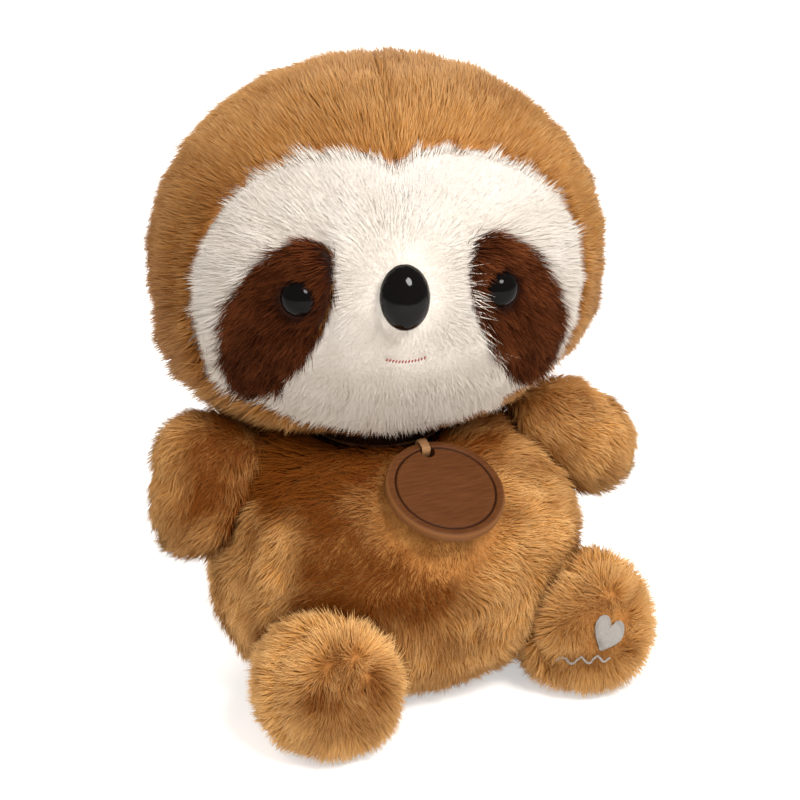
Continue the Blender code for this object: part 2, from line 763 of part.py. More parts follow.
def make_leg(side):
    root, foot = hip(side)
    way = (foot - root).normalized()
    balls = [(root, HIP_RADIUS - SEAM_GAP, 1), (foot, FOOT_RADIUS, FOOT_NARROW_SHARE)]
    limb = {"root": root, "radius": HIP_RADIUS, "axis": way.cross(Vector((0, 0, 1))),
            "swing": LEG_SWING, "balls": balls}
    skin = make_skin("leg_" + side_name(side), limb, foot)
    combine(skin, floor_cutter())
    place = sole_frame(side)
    sole = copy_of(skin, "sole_" + side_name(side))
    combine(sole, block_cutter((-BIG, -SOLE_DEPTH, -BIG), (BIG, BIG, BIG), place))
    combine(skin, block_cutter((-BIG, -BIG, -BIG), (BIG, -SOLE_DEPTH + SEAM_GAP, BIG), place))
    finish_piece(skin, "brown_plush")
    finish_piece(sole, "brown_plush")
    stuffing = limb_form("leg_stuffing_" + side_name(side), limb, FABRIC + SEAM_GAP)
    finish_piece(stuffing, "fibre_fill")


def sole_point(x, z, lift):
    """The place on the left sole, lifted off its surface, over a point of the sole's own frame."""
    place = sole_frame(1)
    centre = place.translation
    squash = Matrix.Diagonal((1 / FOOT_NARROW_SHARE, 1, 1))
    start = squash @ (place @ Vector((x, 0, z)) - centre)
    way = squash @ (place.to_3x3() @ Vector((0, -1, 0)))
    mixed = start.dot(way)
    beyond = (FOOT_RADIUS + lift) ** 2 - start.length_squared
    travel = (math.sqrt(mixed ** 2 + beyond * way.length_squared) - mixed) / way.length_squared
    return place @ Vector((x, -travel, z))


def foot_ball(lift):
    shape = outer_ball((0, 0, 0), FOOT_RADIUS + lift)
    shape.transform(Matrix.Translation(hip(1)[1]) @ Matrix.Diagonal((FOOT_NARROW_SHARE, 1, 1, 1)))
    return shape


def make_embroidery():
    """A raised heart on the left sole, with a wavy line of stitches below it."""
    heart = add_object("heart_patch", foot_ball(SEAM_GAP + HEART_THICKNESS))
    combine(heart, add_object("cutter", foot_ball(SEAM_GAP)))
    turn = Matrix.Rotation(HEART_TURN, 2)
    points = []
    for x, z in both_halves(HEART_SHARES):
        points.append(turn @ Vector((x * HEART_WIDTH / 2, z * HEART_HEIGHT / 2)) + Vector((HEART_SIDE, HEART_LIFT)))
    outline = smooth_loop(points, OUTLINE_COUNT)
    combine(heart, prism_cutter(outline, sole_frame(1), -FOOT_RADIUS - OVERRUN, 0), "INTERSECT")
    finish_piece(heart, "silver_thread")
    waves, steps = 3, 24
    points = []
    for step in range(steps + 1):
        share = step / steps
        x = STITCH_LENGTH * (share - 0.5) + STITCH_SIDE
        z = STITCH_WAVE * math.sin(2 * math.pi * waves * share) - STITCH_DROP
        points.append(sole_point(x, z, SEAM_GAP + THREAD_RADIUS))
    out = sole_frame(1).to_3x3() @ Vector((0, -1, 0))
    finish_piece(add_object("sole_stitching", tube(points, THREAD_RADIUS, side_way=out)), "silver_thread")


# Tag

def tag_frame():
    """A frame at the tag's centre: Z points out of its face and Y up the chest."""
    rise = TORSO_HIGH_HALF - TAG_ANCHOR_DROP - TAG_HANG
    chest = torso_point(0.0, rise)
    out = torso_normal(chest)
    centre = chest + out * (TAG_OFF_CHEST + TAG_THICKNESS / 2) + Vector((TAG_SIDE, 0, 0))
    out = Matrix.Rotation(-TAG_LIE, 3, "X") @ out
    side = Vector((1, 0, 0))
    turn = Matrix((side, out.cross(side), out)).transposed().to_4x4()
    return Matrix.Translation(centre) @ turn @ Matrix.Rotation(-TAG_TURN, 4, "Z")


def tag_hole_up():
    return TAG_RADIUS - TAG_HOLE_TO_EDGE


def make_tag():
    place = tag_frame()
    half = TAG_THICKNESS / 2
    profile = [(0, half), (TAG_GROOVE_RADIUS - TAG_GROOVE_WIDTH, half),
               (TAG_GROOVE_RADIUS, half - TAG_GROOVE_DEPTH), (TAG_GROOVE_RADIUS + TAG_GROOVE_WIDTH, half),
               (TAG_RADIUS - TAG_EDGE, half), (TAG_RADIUS, half - TAG_EDGE),
               (TAG_RADIUS, TAG_EDGE - half), (TAG_RADIUS - TAG_EDGE, -half), (0, -half)]
    disc = add_object("tag_disc", turned(profile, 2 * SMALL_SIDES, place))
    hole = Vector((0, tag_hole_up(), 0))
    reach = Vector((0, 0, TAG_THICKNESS))
    combine(disc, rod_cutter(place @ (hole - reach), place @ (hole + reach), TAG_HOLE_RADIUS))
    finish_piece(disc, "tag_wood")
    make_strap(place)


def tag_anchor():
    """Where the strap is sewn to the body, just clear of the skin."""
    point = torso_point(0.0, TORSO_HIGH_HALF - TAG_ANCHOR_DROP)
    return point + torso_normal(point) * (SEAM_GAP + STRAP_THICKNESS / 2)


def make_strap(place):
    """A closed strap through the tag's hole, over its rim and back to the neck seam."""
    half = STRAP_THICKNESS / 2
    seat = math.sqrt(TAG_HOLE_RADIUS ** 2 - (STRAP_WIDTH / 2 + SEAM_GAP / 2) ** 2)
    low = tag_hole_up() + seat - half
    face = TAG_THICKNESS / 2 + SEAM_GAP + half
    rim = TAG_RADIUS + SEAM_GAP + half
    anchor = place.inverted() @ tag_anchor()
    points = [(low, -face / 2), (low, face / 2), (low + half, face * 0.85), (low + 2 * half, face),
              (rim - 2 * half, face), (rim - half / 2, face * 0.85), (rim, face / 2), (rim, -face / 2),
              (rim - half, -face), (anchor.y + 2 * half, anchor.z + half), (anchor.y + half, anchor.z),
              (anchor.y - half, anchor.z), (anchor.y - 2 * half, anchor.z + half), (low + half, -face)]
    side_way = place.to_3x3() @ Vector((1, 0, 0))
    route = [place @ Vector((0, up, out)) for up, out in points]
    strap = tube(route, half * math.sqrt(2), 4, STRAP_WIDTH / STRAP_THICKNESS, side_way, closed=True)
    finish_piece(add_object("tag_loop", strap), "strap_cord")


def place_origins():
    """Each moving piece has its origin on the axis it turns about."""
    for piece in bpy.data.objects:
        side = -1 if piece.name.endswith("_right") else 1
        if piece.name.startswith(("torso", "body")):
            continue
        if piece.name.startswith("arm"):
            point = shoulder(side)[0]
        elif piece.name.startswith(("leg", "sole", "heart")):
            point = hip(side)[0]
        elif piece.name.startswith("tag"):
            point = tag_anchor()
        else:
            point = NECK
        piece.data.transform(Matrix.Translation(-point))
        piece.location = point


def main():
    clear_scene()
    make_head()
    make_neck()
    make_torso()
    for side in (1, -1):
        make_arm(side)
        make_leg(side)
    make_embroidery()
    make_tag()
    place_origins()


main()
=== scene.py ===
import json
import math

import bmesh
import bpy
import numpy as np
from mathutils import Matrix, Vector
from mathutils.bvhtree import BVHTree

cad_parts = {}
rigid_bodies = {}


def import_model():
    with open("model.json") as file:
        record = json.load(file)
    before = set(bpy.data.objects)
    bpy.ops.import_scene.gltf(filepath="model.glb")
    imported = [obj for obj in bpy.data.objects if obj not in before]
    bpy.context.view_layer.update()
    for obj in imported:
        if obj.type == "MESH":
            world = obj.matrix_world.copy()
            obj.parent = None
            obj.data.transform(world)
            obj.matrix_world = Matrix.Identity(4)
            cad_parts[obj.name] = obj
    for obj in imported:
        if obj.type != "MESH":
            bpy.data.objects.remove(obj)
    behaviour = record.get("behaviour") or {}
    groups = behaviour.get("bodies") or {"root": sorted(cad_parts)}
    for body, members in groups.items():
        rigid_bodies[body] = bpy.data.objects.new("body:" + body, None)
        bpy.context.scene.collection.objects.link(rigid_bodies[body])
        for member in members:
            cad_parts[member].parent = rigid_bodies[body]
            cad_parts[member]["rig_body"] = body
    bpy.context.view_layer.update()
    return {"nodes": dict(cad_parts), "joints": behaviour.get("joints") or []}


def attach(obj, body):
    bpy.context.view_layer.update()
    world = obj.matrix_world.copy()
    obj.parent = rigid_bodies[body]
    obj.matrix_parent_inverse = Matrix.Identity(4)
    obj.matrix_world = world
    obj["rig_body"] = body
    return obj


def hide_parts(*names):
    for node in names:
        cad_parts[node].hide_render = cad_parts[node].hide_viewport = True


mm = 0.001
sides = ("left", "right")

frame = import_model()
nodes = frame["nodes"]


# Meshes and places read from the frame

def nodeMesh(name):
    # The node's triangles merged into one closed mesh
    shape = bmesh.new()
    shape.from_mesh(nodes[name].data)
    bmesh.ops.remove_doubles(shape, verts=shape.verts, dist=0.001 * mm)
    return shape


def addPiece(name, data):
    piece = bpy.data.objects.new(name, data)
    bpy.context.scene.collection.objects.link(piece)
    return piece


def addMesh(name, shape):
    mesh = bpy.data.meshes.new(name)
    if isinstance(shape, bmesh.types.BMesh):
        shape.to_mesh(mesh)
        shape.free()
    else:
        mesh.from_pydata(*shape)
    return addPiece(name, mesh)


def cornersOf(*names):
    return np.array([v.co for name in names for v in nodes[name].data.vertices])


def boxMiddle(*names):
    corners = cornersOf(*names)
    return (corners.min(0) + corners.max(0)) / 2


def treeOf(shape):
    tree = BVHTree.FromBMesh(shape)
    shape.free()
    return tree


def hullTree(*names):
    # The convex hull of some nodes, to ask whether a point lies inside it
    shape = bmesh.new()
    for point in cornersOf(*names):
        shape.verts.new(point)
    hull = bmesh.ops.convex_hull(shape, input=shape.verts)
    spare = [item for item in hull["geom_interior"] + hull["geom_unused"]
             if isinstance(item, bmesh.types.BMVert)]
    bmesh.ops.delete(shape, geom=list(set(spare)), context="VERTS")
    bmesh.ops.recalc_face_normals(shape, faces=shape.faces[:])
    return treeOf(shape)


def depthInside(tree, point):
    # Positive inside the hull, negative outside it
    found, normal, _, distance = tree.find_nearest(Vector(point))
    return distance if (Vector(point) - found).dot(normal) < 0 else -distance


def smoothstep(low, high, value):
    share = np.clip((value - low) / (high - low), 0, 1)
    return share * share * (3 - 2 * share)


def unit(vectors):
    return vectors / np.maximum(np.linalg.norm(vectors, axis=-1, keepdims=True), 1e-9)


def jointOf(child):
    return next(joint for joint in frame["joints"] if joint["child"] == child)


headMiddle = boxMiddle("hood_left", "hood_right", "face_panel")
noseMiddle = cornersOf("nose").mean(0)
headForward = unit((noseMiddle - headMiddle) * (1, 1, 0.4))
eyeMiddles = [cornersOf("eye_left").mean(0), cornersOf("eye_right").mean(0)]
mouthMiddle = cornersOf("mouth_stitch").mean(0)
tagMiddle = Vector(boxMiddle("tag_disc"))
tagCorners = cornersOf("tag_disc")
tagNormal = Vector(np.linalg.svd(tagCorners - tagCorners.mean(0), full_matrices=False)[2][2])
tagRadius = max((Vector(corner) - tagMiddle).length for corner in tagCorners)
torsoMiddle = boxMiddle("torso_front", "torso_back")


# Nodes and materials

def feed(tree, made, sockets):
    # Each socket takes a link where its value is another node's output, and a constant otherwise
    for key, value in sockets.items():
        if isinstance(value, bpy.types.NodeSocket):
            tree.links.new(value, made.inputs[key])
        else:
            made.inputs[key].default_value = value


def node(tree, kind, sockets=None, **settings):
    made = tree.nodes.new(kind)
    for key, value in settings.items():
        setattr(made, key, value)
    feed(tree, made, sockets or {})
    return made


def give(tree, kind, sockets=None, **settings):
    # The first output of a new node
    return node(tree, kind, sockets, **settings).outputs[0]


def newGroup(name, treeKind, inputs, output):
    # Both are lists of (label, kind); gives the tree, the group's inputs and its output node
    tree = bpy.data.node_groups.new(name, treeKind)
    for way, faces in (("INPUT", inputs), ("OUTPUT", output)):
        for label, kind in faces:
            tree.interface.new_socket(label, in_out=way, socket_type="NodeSocket" + kind)
    return tree, node(tree, "NodeGroupInput").outputs, node(tree, "NodeGroupOutput")


def geometryGroup(name, inputs):
    # It also takes a mesh and a material, and gives a mesh
    shared = [("Geometry", "Geometry"), ("Material", "Material")]
    return newGroup(name, "GeometryNodeTree", shared + inputs, shared[:1])


def closeGroup(tree, start, end, geometry):
    painted = give(tree, "GeometryNodeSetMaterial", {"Geometry": geometry, "Material": start["Material"]})
    feed(tree, end, {0: painted})
    return tree


def turnTo(tree, main, sideways):
    return give(tree, "FunctionNodeAxesToRotation", {0: main, 1: sideways},
                primary_axis="Z", secondary_axis="X")


def newMaterial(name, **inputs):
    material = bpy.data.materials.new(name)
    material.use_nodes = True
    tree = material.node_tree
    shader = tree.nodes["Principled BSDF"]
    feed(tree, shader, {key.replace("_", " "): value for key, value in inputs.items()})
    return material, tree, shader


def rgba(colour):
    return (*colour, 1.0)


def objectPlace(tree):
    return node(tree, "ShaderNodeTexCoord").outputs["Object"]


def colourRamp(tree, factor, stops):
    ramp = node(tree, "ShaderNodeValToRGB", {0: factor})
    for stop, (position, colour) in zip(ramp.color_ramp.elements, stops):
        stop.position, stop.color = position, rgba(colour)
    return ramp.outputs[0]


def bumpOf(tree, height, strength, distance):
    return give(tree, "ShaderNodeBump",
                {"Strength": strength, "Distance": distance, "Height": height})


def noiseOf(tree, place, scale, detail=2.0):
    return give(tree, "ShaderNodeTexNoise", {"Scale": scale, "Detail": detail, "Vector": place})


def mixColours(tree, factor, first, second, blend="MIX"):
    return node(tree, "ShaderNodeMix", {0: factor, 6: first, 7: second},
                data_type="RGBA", blend_type=blend).outputs[2]


def buildPileGroup():
    # Colour of one fibre: u carries its tone and v runs from root to tip
    labels = ("Root", "Middle", "Tip", "Deep Tint", "Bright Tint")
    tree, shades, end = newGroup("pileShade", "ShaderNodeTree", [(label, "Color") for label in labels],
                                 [("Color", "Color")])
    place = node(tree, "ShaderNodeUVMap", uv_map="OFBake").outputs["UV"]
    tone, rise = node(tree, "ShaderNodeSeparateXYZ", {0: place}).outputs[:2]
    lower, upper = (give(tree, "ShaderNodeMapRange", {label: share, "Value": rise},
                         interpolation_type="SMOOTHSTEP")
                    for label, share in (("From Max", 0.45), ("From Min", 0.35)))
    fibre = mixColours(tree, upper, mixColours(tree, lower, shades["Root"], shades["Middle"]), shades["Tip"])
    tint = mixColours(tree, tone, shades["Deep Tint"], shades["Bright Tint"])
    feed(tree, end, {"Color": mixColours(tree, 1.0, fibre, tint, "MULTIPLY")})
    return tree


pileGroup = buildPileGroup()

pileColours = {
    "brown": {"Root": (0.33, 0.118, 0.020), "Middle": (0.57, 0.258, 0.066), "Tip": (0.86, 0.506, 0.207),
              "Deep Tint": (0.24, 0.115, 0.022), "Bright Tint": (1.18, 1.22, 1.26)},
    "white": {"Root": (0.86, 0.79, 0.72), "Middle": (0.84, 0.79, 0.735), "Tip": (0.865, 0.83, 0.795),
              "Deep Tint": (0.82, 0.75, 0.67), "Bright Tint": (1.04, 1.04, 1.04)},
    "dark": {"Root": (0.012, 0.0025, 0.0008), "Middle": (0.042, 0.010, 0.003), "Tip": (0.21, 0.062, 0.020),
             "Deep Tint": (0.34, 0.28, 0.24), "Bright Tint": (1.5, 1.5, 1.5)},
}
pileShine = {"brown": 0.08, "white": 0.12, "dark": 0.03}


def pileMaterial(kind):
    material, tree, shader = newMaterial(kind + "Pile", Roughness=0.62, Specular_IOR_Level=pileShine[kind])
    colours = {label: rgba(colour) for label, colour in pileColours[kind].items()}
    shade = node(tree, "ShaderNodeGroup", colours, node_tree=pileGroup)
    feed(tree, shader, {"Base Color": shade.outputs["Color"]})
    return material


def backingMaterial(kind):
    # The knitted cloth under the pile, seen only between fibres
    shades = pileColours[kind]
    material, tree, shader = newMaterial(kind + "Backing", Roughness=0.9)
    place = objectPlace(tree)
    stops = [(0.32, shades["Root"]), (0.68, shades["Middle"])]
    feed(tree, shader, {"Base Color": colourRamp(tree, noiseOf(tree, place, 140.0, 4.0), stops),
                        "Normal": bumpOf(tree, noiseOf(tree, place, 1800.0), 0.6, 0.3 * mm)})
    return material


pileMaterials = {kind: pileMaterial(kind) for kind in pileColours}
backingMaterials = {kind: backingMaterial(kind) for kind in pileColours}


# Plush skins: each stands for the stitched panel of its CAD node

def settle(piece):
    # Turns a piece's modifiers into plain mesh
    graph = bpy.context.evaluated_depsgraph_get()
    mesh = bpy.data.meshes.new_from_object(piece.evaluated_get(graph))
    piece.modifiers.clear()
    piece.data = mesh
    return piece


def makeSkin(name, source, kind, also=(), voxel=2.1 * mm):
    piece = addMesh(name, nodeMesh(source))
    remesh = piece.modifiers.new("remesh", "REMESH")
    remesh.mode, remesh.voxel_size = "VOXEL", voxel
    relax = piece.modifiers.new("relax", "SMOOTH")
    relax.factor, relax.iterations = 0.5, 4
    settle(piece)
    piece.data.shade_smooth()
    piece.data.materials.clear()
    piece.data.materials.append(backingMaterials[kind])
    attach(piece, nodes[source]["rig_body"])
    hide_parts(source, *also)
    points, normals = np.zeros((2, len(piece.data.vertices) * 3))
    piece.data.vertices.foreach_get("co", points)
    piece.data.vertex_normals.foreach_get("vector", normals)
    return piece, points.reshape(-1, 3), normals.reshape(-1, 3)


# Fibres: a thin closed sliver, instanced over a skin by Geometry Nodes and combed along it

def makeSliver(name, width, bend, bendAt=0.4):
    # Pointed at both ends, three-sided at its belly, where it also bends. The nudge keeps its sides apart
    # in the UV map
    nudge = 0.004
    verts, places = [(0, 0, 0)], [(nudge, 0)]
    for corner in range(3):
        angle = 2 * math.pi * corner / 3
        verts.append((bend + width * math.cos(angle) / 2, width * math.sin(angle) / 2, bendAt))
        places.append((nudge * corner, bendAt))
    verts.append((0, 0, 1))
    places.append((nudge, 1))
    faces = []
    for corner in range(3):
        after = (corner + 1) % 3
        faces += [(0, 1 + after, 1 + corner), (1 + corner, 1 + after, 4)]
    piece = addMesh(name, (verts, [], faces))
    layer = piece.data.uv_layers.new(name="OFBake")
    for loop in piece.data.loops:
        layer.data[loop.index].uv = places[loop.vertex_index]
    piece.data.shade_smooth()
    piece.hide_render = True
    return piece


def buildFurTree():
    wanderSeed, rollSeed, lengthSeed, toneSeed, guideSeed = 3, 5, 11, 17, 71
    leastRise, roll, clumpTone, darkest, palest = 0.12, 0.45, 0.35, 0.01, 0.98
    floats = ("Density", "Length", "Length Spread", "Lift", "Wander", "Clump Density", "Clump Share", "Wave",
              "Wave Size", "Tone Spread", "Soft Shading")
    tree, start, end = geometryGroup("plushPile", [("Sliver", "Object"), ("Seed", "Int"),
                                                   *((label, "Float") for label in floats)])

    def mathOf(operation, *values):
        return give(tree, "ShaderNodeMath", dict(enumerate(values)), operation=operation)

    def vectorOf(operation, *values):
        made = node(tree, "ShaderNodeVectorMath", dict(enumerate(values)), operation=operation)
        return made.outputs["Value" if operation == "DOT_PRODUCT" else "Vector"]

    def scaled(vector, factor):
        return give(tree, "ShaderNodeVectorMath", {0: vector, "Scale": factor}, operation="SCALE")

    def attribute(name, kind="FLOAT"):
        return node(tree, "GeometryNodeInputNamedAttribute", {"Name": name},
                    data_type=kind).outputs["Attribute"]

    def keep(name, geometry, value, kind, domain="POINT"):
        return give(tree, "GeometryNodeStoreNamedAttribute",
                    {"Name": name, "Geometry": geometry, "Value": value},
                    data_type=kind, domain=domain)

    def seedPlus(shift):
        return mathOf("ADD", start["Seed"], shift)

    def randomVector(shift):
        return give(tree, "FunctionNodeRandomValue", {0: (-1, -1, -1), 1: (1, 1, 1), "Seed": seedPlus(shift)},
                    data_type="FLOAT_VECTOR")

    def randomFloat(low, high, shift):
        return node(tree, "FunctionNodeRandomValue", {2: low, 3: high, "Seed": seedPlus(shift)},
                    data_type="FLOAT").outputs[1]

    density = mathOf("MULTIPLY", attribute("cover"), start["Density"])
    scatter = node(tree, "GeometryNodeDistributePointsOnFaces",
                   {"Mesh": start["Geometry"], "Density": density, "Seed": start["Seed"]})
    rooted = keep("skinNormal", scatter.outputs["Points"], scatter.outputs["Normal"], "FLOAT_VECTOR")
    guides = node(tree, "GeometryNodeDistributePointsOnFaces",
                  {"Mesh": start["Geometry"], "Density": start["Clump Density"], "Seed": seedPlus(guideSeed)})
    here = give(tree, "GeometryNodeInputPosition")
    comb, normal = attribute("comb", "FLOAT_VECTOR"), attribute("skinNormal", "FLOAT_VECTOR")
    nearest = node(tree, "GeometryNodeSampleNearest", {"Geometry": guides.outputs["Points"]}).outputs["Index"]
    guidePlace = give(tree, "GeometryNodeSampleIndex",
                      {"Geometry": guides.outputs["Points"], "Value": here, "Index": nearest},
                      data_type="FLOAT_VECTOR")

    # Own direction: along the comb, lifted off the skin, swayed by a slow wave and by chance
    wave = node(tree, "ShaderNodeTexNoise", {"Vector": here, "Scale": start["Wave Size"]})
    sway = vectorOf("SUBTRACT", wave.outputs["Color"], (0.5, 0.5, 0.5))
    sway = scaled(sway, mathOf("MULTIPLY", start["Wave"], 3.0))
    along = vectorOf("ADD", comb, sway)
    raised = scaled(normal, mathOf("MULTIPLY", start["Lift"], attribute("rise")))
    own = vectorOf("ADD", vectorOf("NORMALIZE", along), raised)
    own = vectorOf("ADD", own, scaled(randomVector(wanderSeed), start["Wander"]))

    # Clumps: fibres lean towards the tip of the nearest guide
    length = mathOf("MULTIPLY", start["Length"], attribute("pile"))
    guideReach = scaled(vectorOf("NORMALIZE", vectorOf("ADD", along, raised)), length)
    aim = vectorOf("SUBTRACT", vectorOf("ADD", guidePlace, guideReach), here)
    aimed = node(tree, "ShaderNodeMix", {0: start["Clump Share"], 4: vectorOf("NORMALIZE", own),
                                         5: vectorOf("NORMALIZE", aim)}, data_type="VECTOR").outputs[1]
    # A fibre never dives back into the skin
    dip = mathOf("MAXIMUM", mathOf("SUBTRACT", leastRise, vectorOf("DOT_PRODUCT", aimed, normal)), 0.0)
    aimed = vectorOf("ADD", aimed, scaled(normal, dip))

    sideways = vectorOf("ADD", normal, scaled(randomVector(rollSeed), roll))
    sliver = node(tree, "GeometryNodeObjectInfo", {"Object": start["Sliver"]})
    spread = mathOf("MULTIPLY", randomFloat(-1.0, 1.0, lengthSeed), start["Length Spread"])
    grow = give(tree, "GeometryNodeInstanceOnPoints",
                {"Points": rooted, "Instance": sliver.outputs["Geometry"],
                 "Rotation": turnTo(tree, aimed, sideways),
                 "Scale": mathOf("MULTIPLY", length, mathOf("ADD", spread, 1.0))})

    # Tone: where it lies, which clump it is in, and chance
    ofClump = node(tree, "FunctionNodeRandomValue", {"ID": nearest}, data_type="FLOAT").outputs[1]
    tone = mathOf("ADD", mathOf("MULTIPLY", ofClump, clumpTone), randomFloat(0.0, 1 - clumpTone, toneSeed))
    tone = mathOf("MULTIPLY", mathOf("SUBTRACT", tone, 0.5), start["Tone Spread"])
    tone = mathOf("ADD", tone, attribute("toneHere"))
    tone = mathOf("MINIMUM", mathOf("MAXIMUM", tone, darkest), palest)
    toned = keep("tone", grow, tone, "FLOAT", "INSTANCE")
    real = give(tree, "GeometryNodeRealizeInstances", {0: toned})
    across, up = node(tree, "ShaderNodeSeparateXYZ", {0: attribute("OFBake", "FLOAT_VECTOR")}).outputs[:2]
    joined = give(tree, "ShaderNodeCombineXYZ", {"X": mathOf("ADD", across, attribute("tone")), "Y": up})
    placed = keep("OFBake", real, joined, "FLOAT2", "CORNER")
    # Pile catches light as one soft surface, so its shading leans to the skin's own normal
    shading = node(tree, "ShaderNodeMix",
                   {0: start["Soft Shading"], 4: give(tree, "GeometryNodeInputNormal"),
                    5: attribute("skinNormal", "FLOAT_VECTOR")}, data_type="VECTOR").outputs[1]
    softened = {"Mesh": placed, "Custom Normal": vectorOf("NORMALIZE", shading)}
    soften = give(tree, "GeometryNodeSetMeshNormal", softened, mode="FREE", domain="POINT")
    return closeGroup(tree, start, end, soften)


furTree = buildFurTree()
sliver = makeSliver("sliver", width=0.033, bend=0.09)
shortSliver = makeSliver("shortSliver", width=0.046, bend=0.10)


def storeAttribute(mesh, name, kind, values):
    layer = mesh.attributes.new(name, kind, "POINT")
    field = "vector" if kind == "FLOAT_VECTOR" else "value"
    layer.data.foreach_set(field, np.ascontiguousarray(values).ravel())


def addNodesModifier(piece, tree, values):
    step = piece.modifiers.new(tree.name, "NODES")
    step.node_group = tree
    for item in tree.interface.items_tree:
        if item.in_out == "INPUT" and item.name in values:
            step[item.identifier] = values[item.name]


def growFur(name, skin, kind, settings, turn, strands, comb, cover, pile, tone, rise=None):
    # Grows the fibres of one skin, and turns them into a plain mesh of their own
    piece = addPiece(name, skin.data.copy())
    rise = np.ones(len(cover)) if rise is None else rise
    fields = {"cover": cover, "pile": pile, "toneHere": tone, "rise": rise}
    storeAttribute(piece.data, "comb", "FLOAT_VECTOR", comb)
    for label, values in fields.items():
        storeAttribute(piece.data, label, "FLOAT", values)
    covered = sum(face.area * cover[list(face.vertices)].mean() for face in piece.data.polygons)
    inputs = {"Sliver": sliver, "Material": pileMaterials[kind], "Density": strands / covered, **settings}
    inputs["Seed"] += turn
    addNodesModifier(piece, furTree, inputs)
    made = settle(piece).data
    for label in ("comb", *fields, "tone", "skinNormal"):
        if label in made.attributes:
            made.attributes.remove(made.attributes[label])
    keepOffFloor(made)
    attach(piece, skin["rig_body"])
    print("fur", name, len(made.polygons), "faces on", round(covered * 1e6), "mm2")


def keepOffFloor(mesh, limit=0.6 * mm, press=0.05, least=0.1 * mm):
    # Presses the fibres that would reach through the floor into a thin layer above it
    points = np.zeros(len(mesh.vertices) * 3)
    mesh.vertices.foreach_get("co", points)
    heights = points[2::3]
    low = heights < limit
    heights[low] = limit + (heights[low] - limit) * press
    heights[:] = np.maximum(heights, least)
    mesh.vertices.foreach_set("co", points)


def outerShare(points, normals, middle):
    # 1 on the outer face of a shell, 0 on its inner one
    return smoothstep(0.0, 0.2, (normals * unit(points - middle)).sum(1))


def clearOf(points, trees, margin):
    # 1 well clear of the other bodies, 0 inside them
    depths = np.array([max(depthInside(tree, point) for tree in trees) for point in points])
    return 1 - smoothstep(-margin, 0.0, depths)


def opened(clear):
    # Nothing grows where the skin lies inside another body
    return smoothstep(0.0, 0.1, clear)


def halves(labels, values, blend):
    # Shares the strands of one skin between two pieces, the first one where the values are positive
    first = smoothstep(-blend, blend, values)
    return zip(labels, (first, 1 - first))


def tangential(vectors, normals):
    return unit(vectors - normals * (vectors * normals).sum(1)[:, None])


def slowNoise(points, size, seed, count=14):
    # Soft cloud between about -1 and 1, with patches of the given size
    chance, spread, phase = np.random.default_rng(seed), (0.7, 1.6), 7
    total = np.zeros(len(points))
    for turn in range(count):
        way = unit(chance.normal(size=3))
        wave = points @ way * 2 * math.pi / (size * chance.uniform(*spread))
        total += np.sin(wave + chance.uniform(0, phase))
    return total / math.sqrt(count)


def cloudOf(points, cloud):
    strength, size, seed = cloud
    return strength * slowNoise(points, size, seed)


def swirlOf(points, swirl):
    strength, size, seed = swirl
    return np.stack([slowNoise(points, size, seed + turn) for turn in range(3)], 1) * strength


def combed(points, normals, flow, swirl):
    return tangential(flow + swirlOf(points, swirl), normals)


def gapTo(points, *names):
    # Distance from each point to the surface of some nodes
    trees = [treeOf(nodeMesh(name)) for name in names]
    return np.array([min(tree.find_nearest(Vector(point))[3] for tree in trees) for point in points])


def nearSpot(points, spot, reach):
    # 1 at a spot, fading to 0 at the given distance in mm
    core = 0.1
    return 1 - smoothstep(core * reach, reach, np.linalg.norm(points / mm - np.array(spot), axis=1))


# Hulls of the bodies, to part the fur where one body meets another
headTree = hullTree("hood_left", "hood_right", "face_panel")
torsoTree = hullTree("torso_front", "torso_back")
armTrees = [hullTree("arm_" + side) for side in sides]
legTrees = [hullTree("leg_" + side, "sole_" + side) for side in sides]
down = np.array([0.0, 0.0, -1.0])
print("hulls ready")


def rising(low, share):
    # low where the share is 0, and 1 where it is 1
    return low + (1 - low) * share


def within(reach, distance, fade=0):
    # 1 up to the first distance, fading to 0 at the reach
    return 1 - smoothstep(fade, reach, distance)


# Head

hoodSettings = {
    "Length": 8.2 * mm, "Length Spread": 0.24, "Lift": 0.34, "Wander": 0.16, "Clump Density": 0.14e6,
    "Clump Share": 0.17, "Wave": 0.20, "Wave Size": 120.0, "Tone Spread": 0.38, "Soft Shading": 0.7,
    "Seed": 11,
}
hoodShape = {
    "front strands": 25000, "back strands": 15000, "neck reach": 16 * mm, "neck pile": 0.60,
    "edge reach": 10 * mm, "edge pile": 0.62, "crown reach": 40 * mm, "crown pile": 0.15,
    "chin low": (-50 * mm, -38 * mm), "chin width": (22 * mm, 40 * mm), "chin front": -15,
    "chin pile": 0.4, "chin shade": 0.45, "tone": 0.52, "cloud": (0.08, 30 * mm, 3),
    "far side": (-66 * mm, -44 * mm), "far side shade": 0.22,
    "corners": (((-56, 4, 106.5), 36), ((58, 4, 114.5), 34)), "corner pile": 0.75, "corner rise": 1.4,
}
faceSettings = {
    "Length": 6.8 * mm, "Length Spread": 0.28, "Lift": 0.26, "Wander": 0.24, "Clump Density": 0.18e6,
    "Clump Share": 0.08, "Wave": 0.36, "Wave Size": 130.0, "Tone Spread": 0.36, "Soft Shading": 0.97,
    "Seed": 23,
}
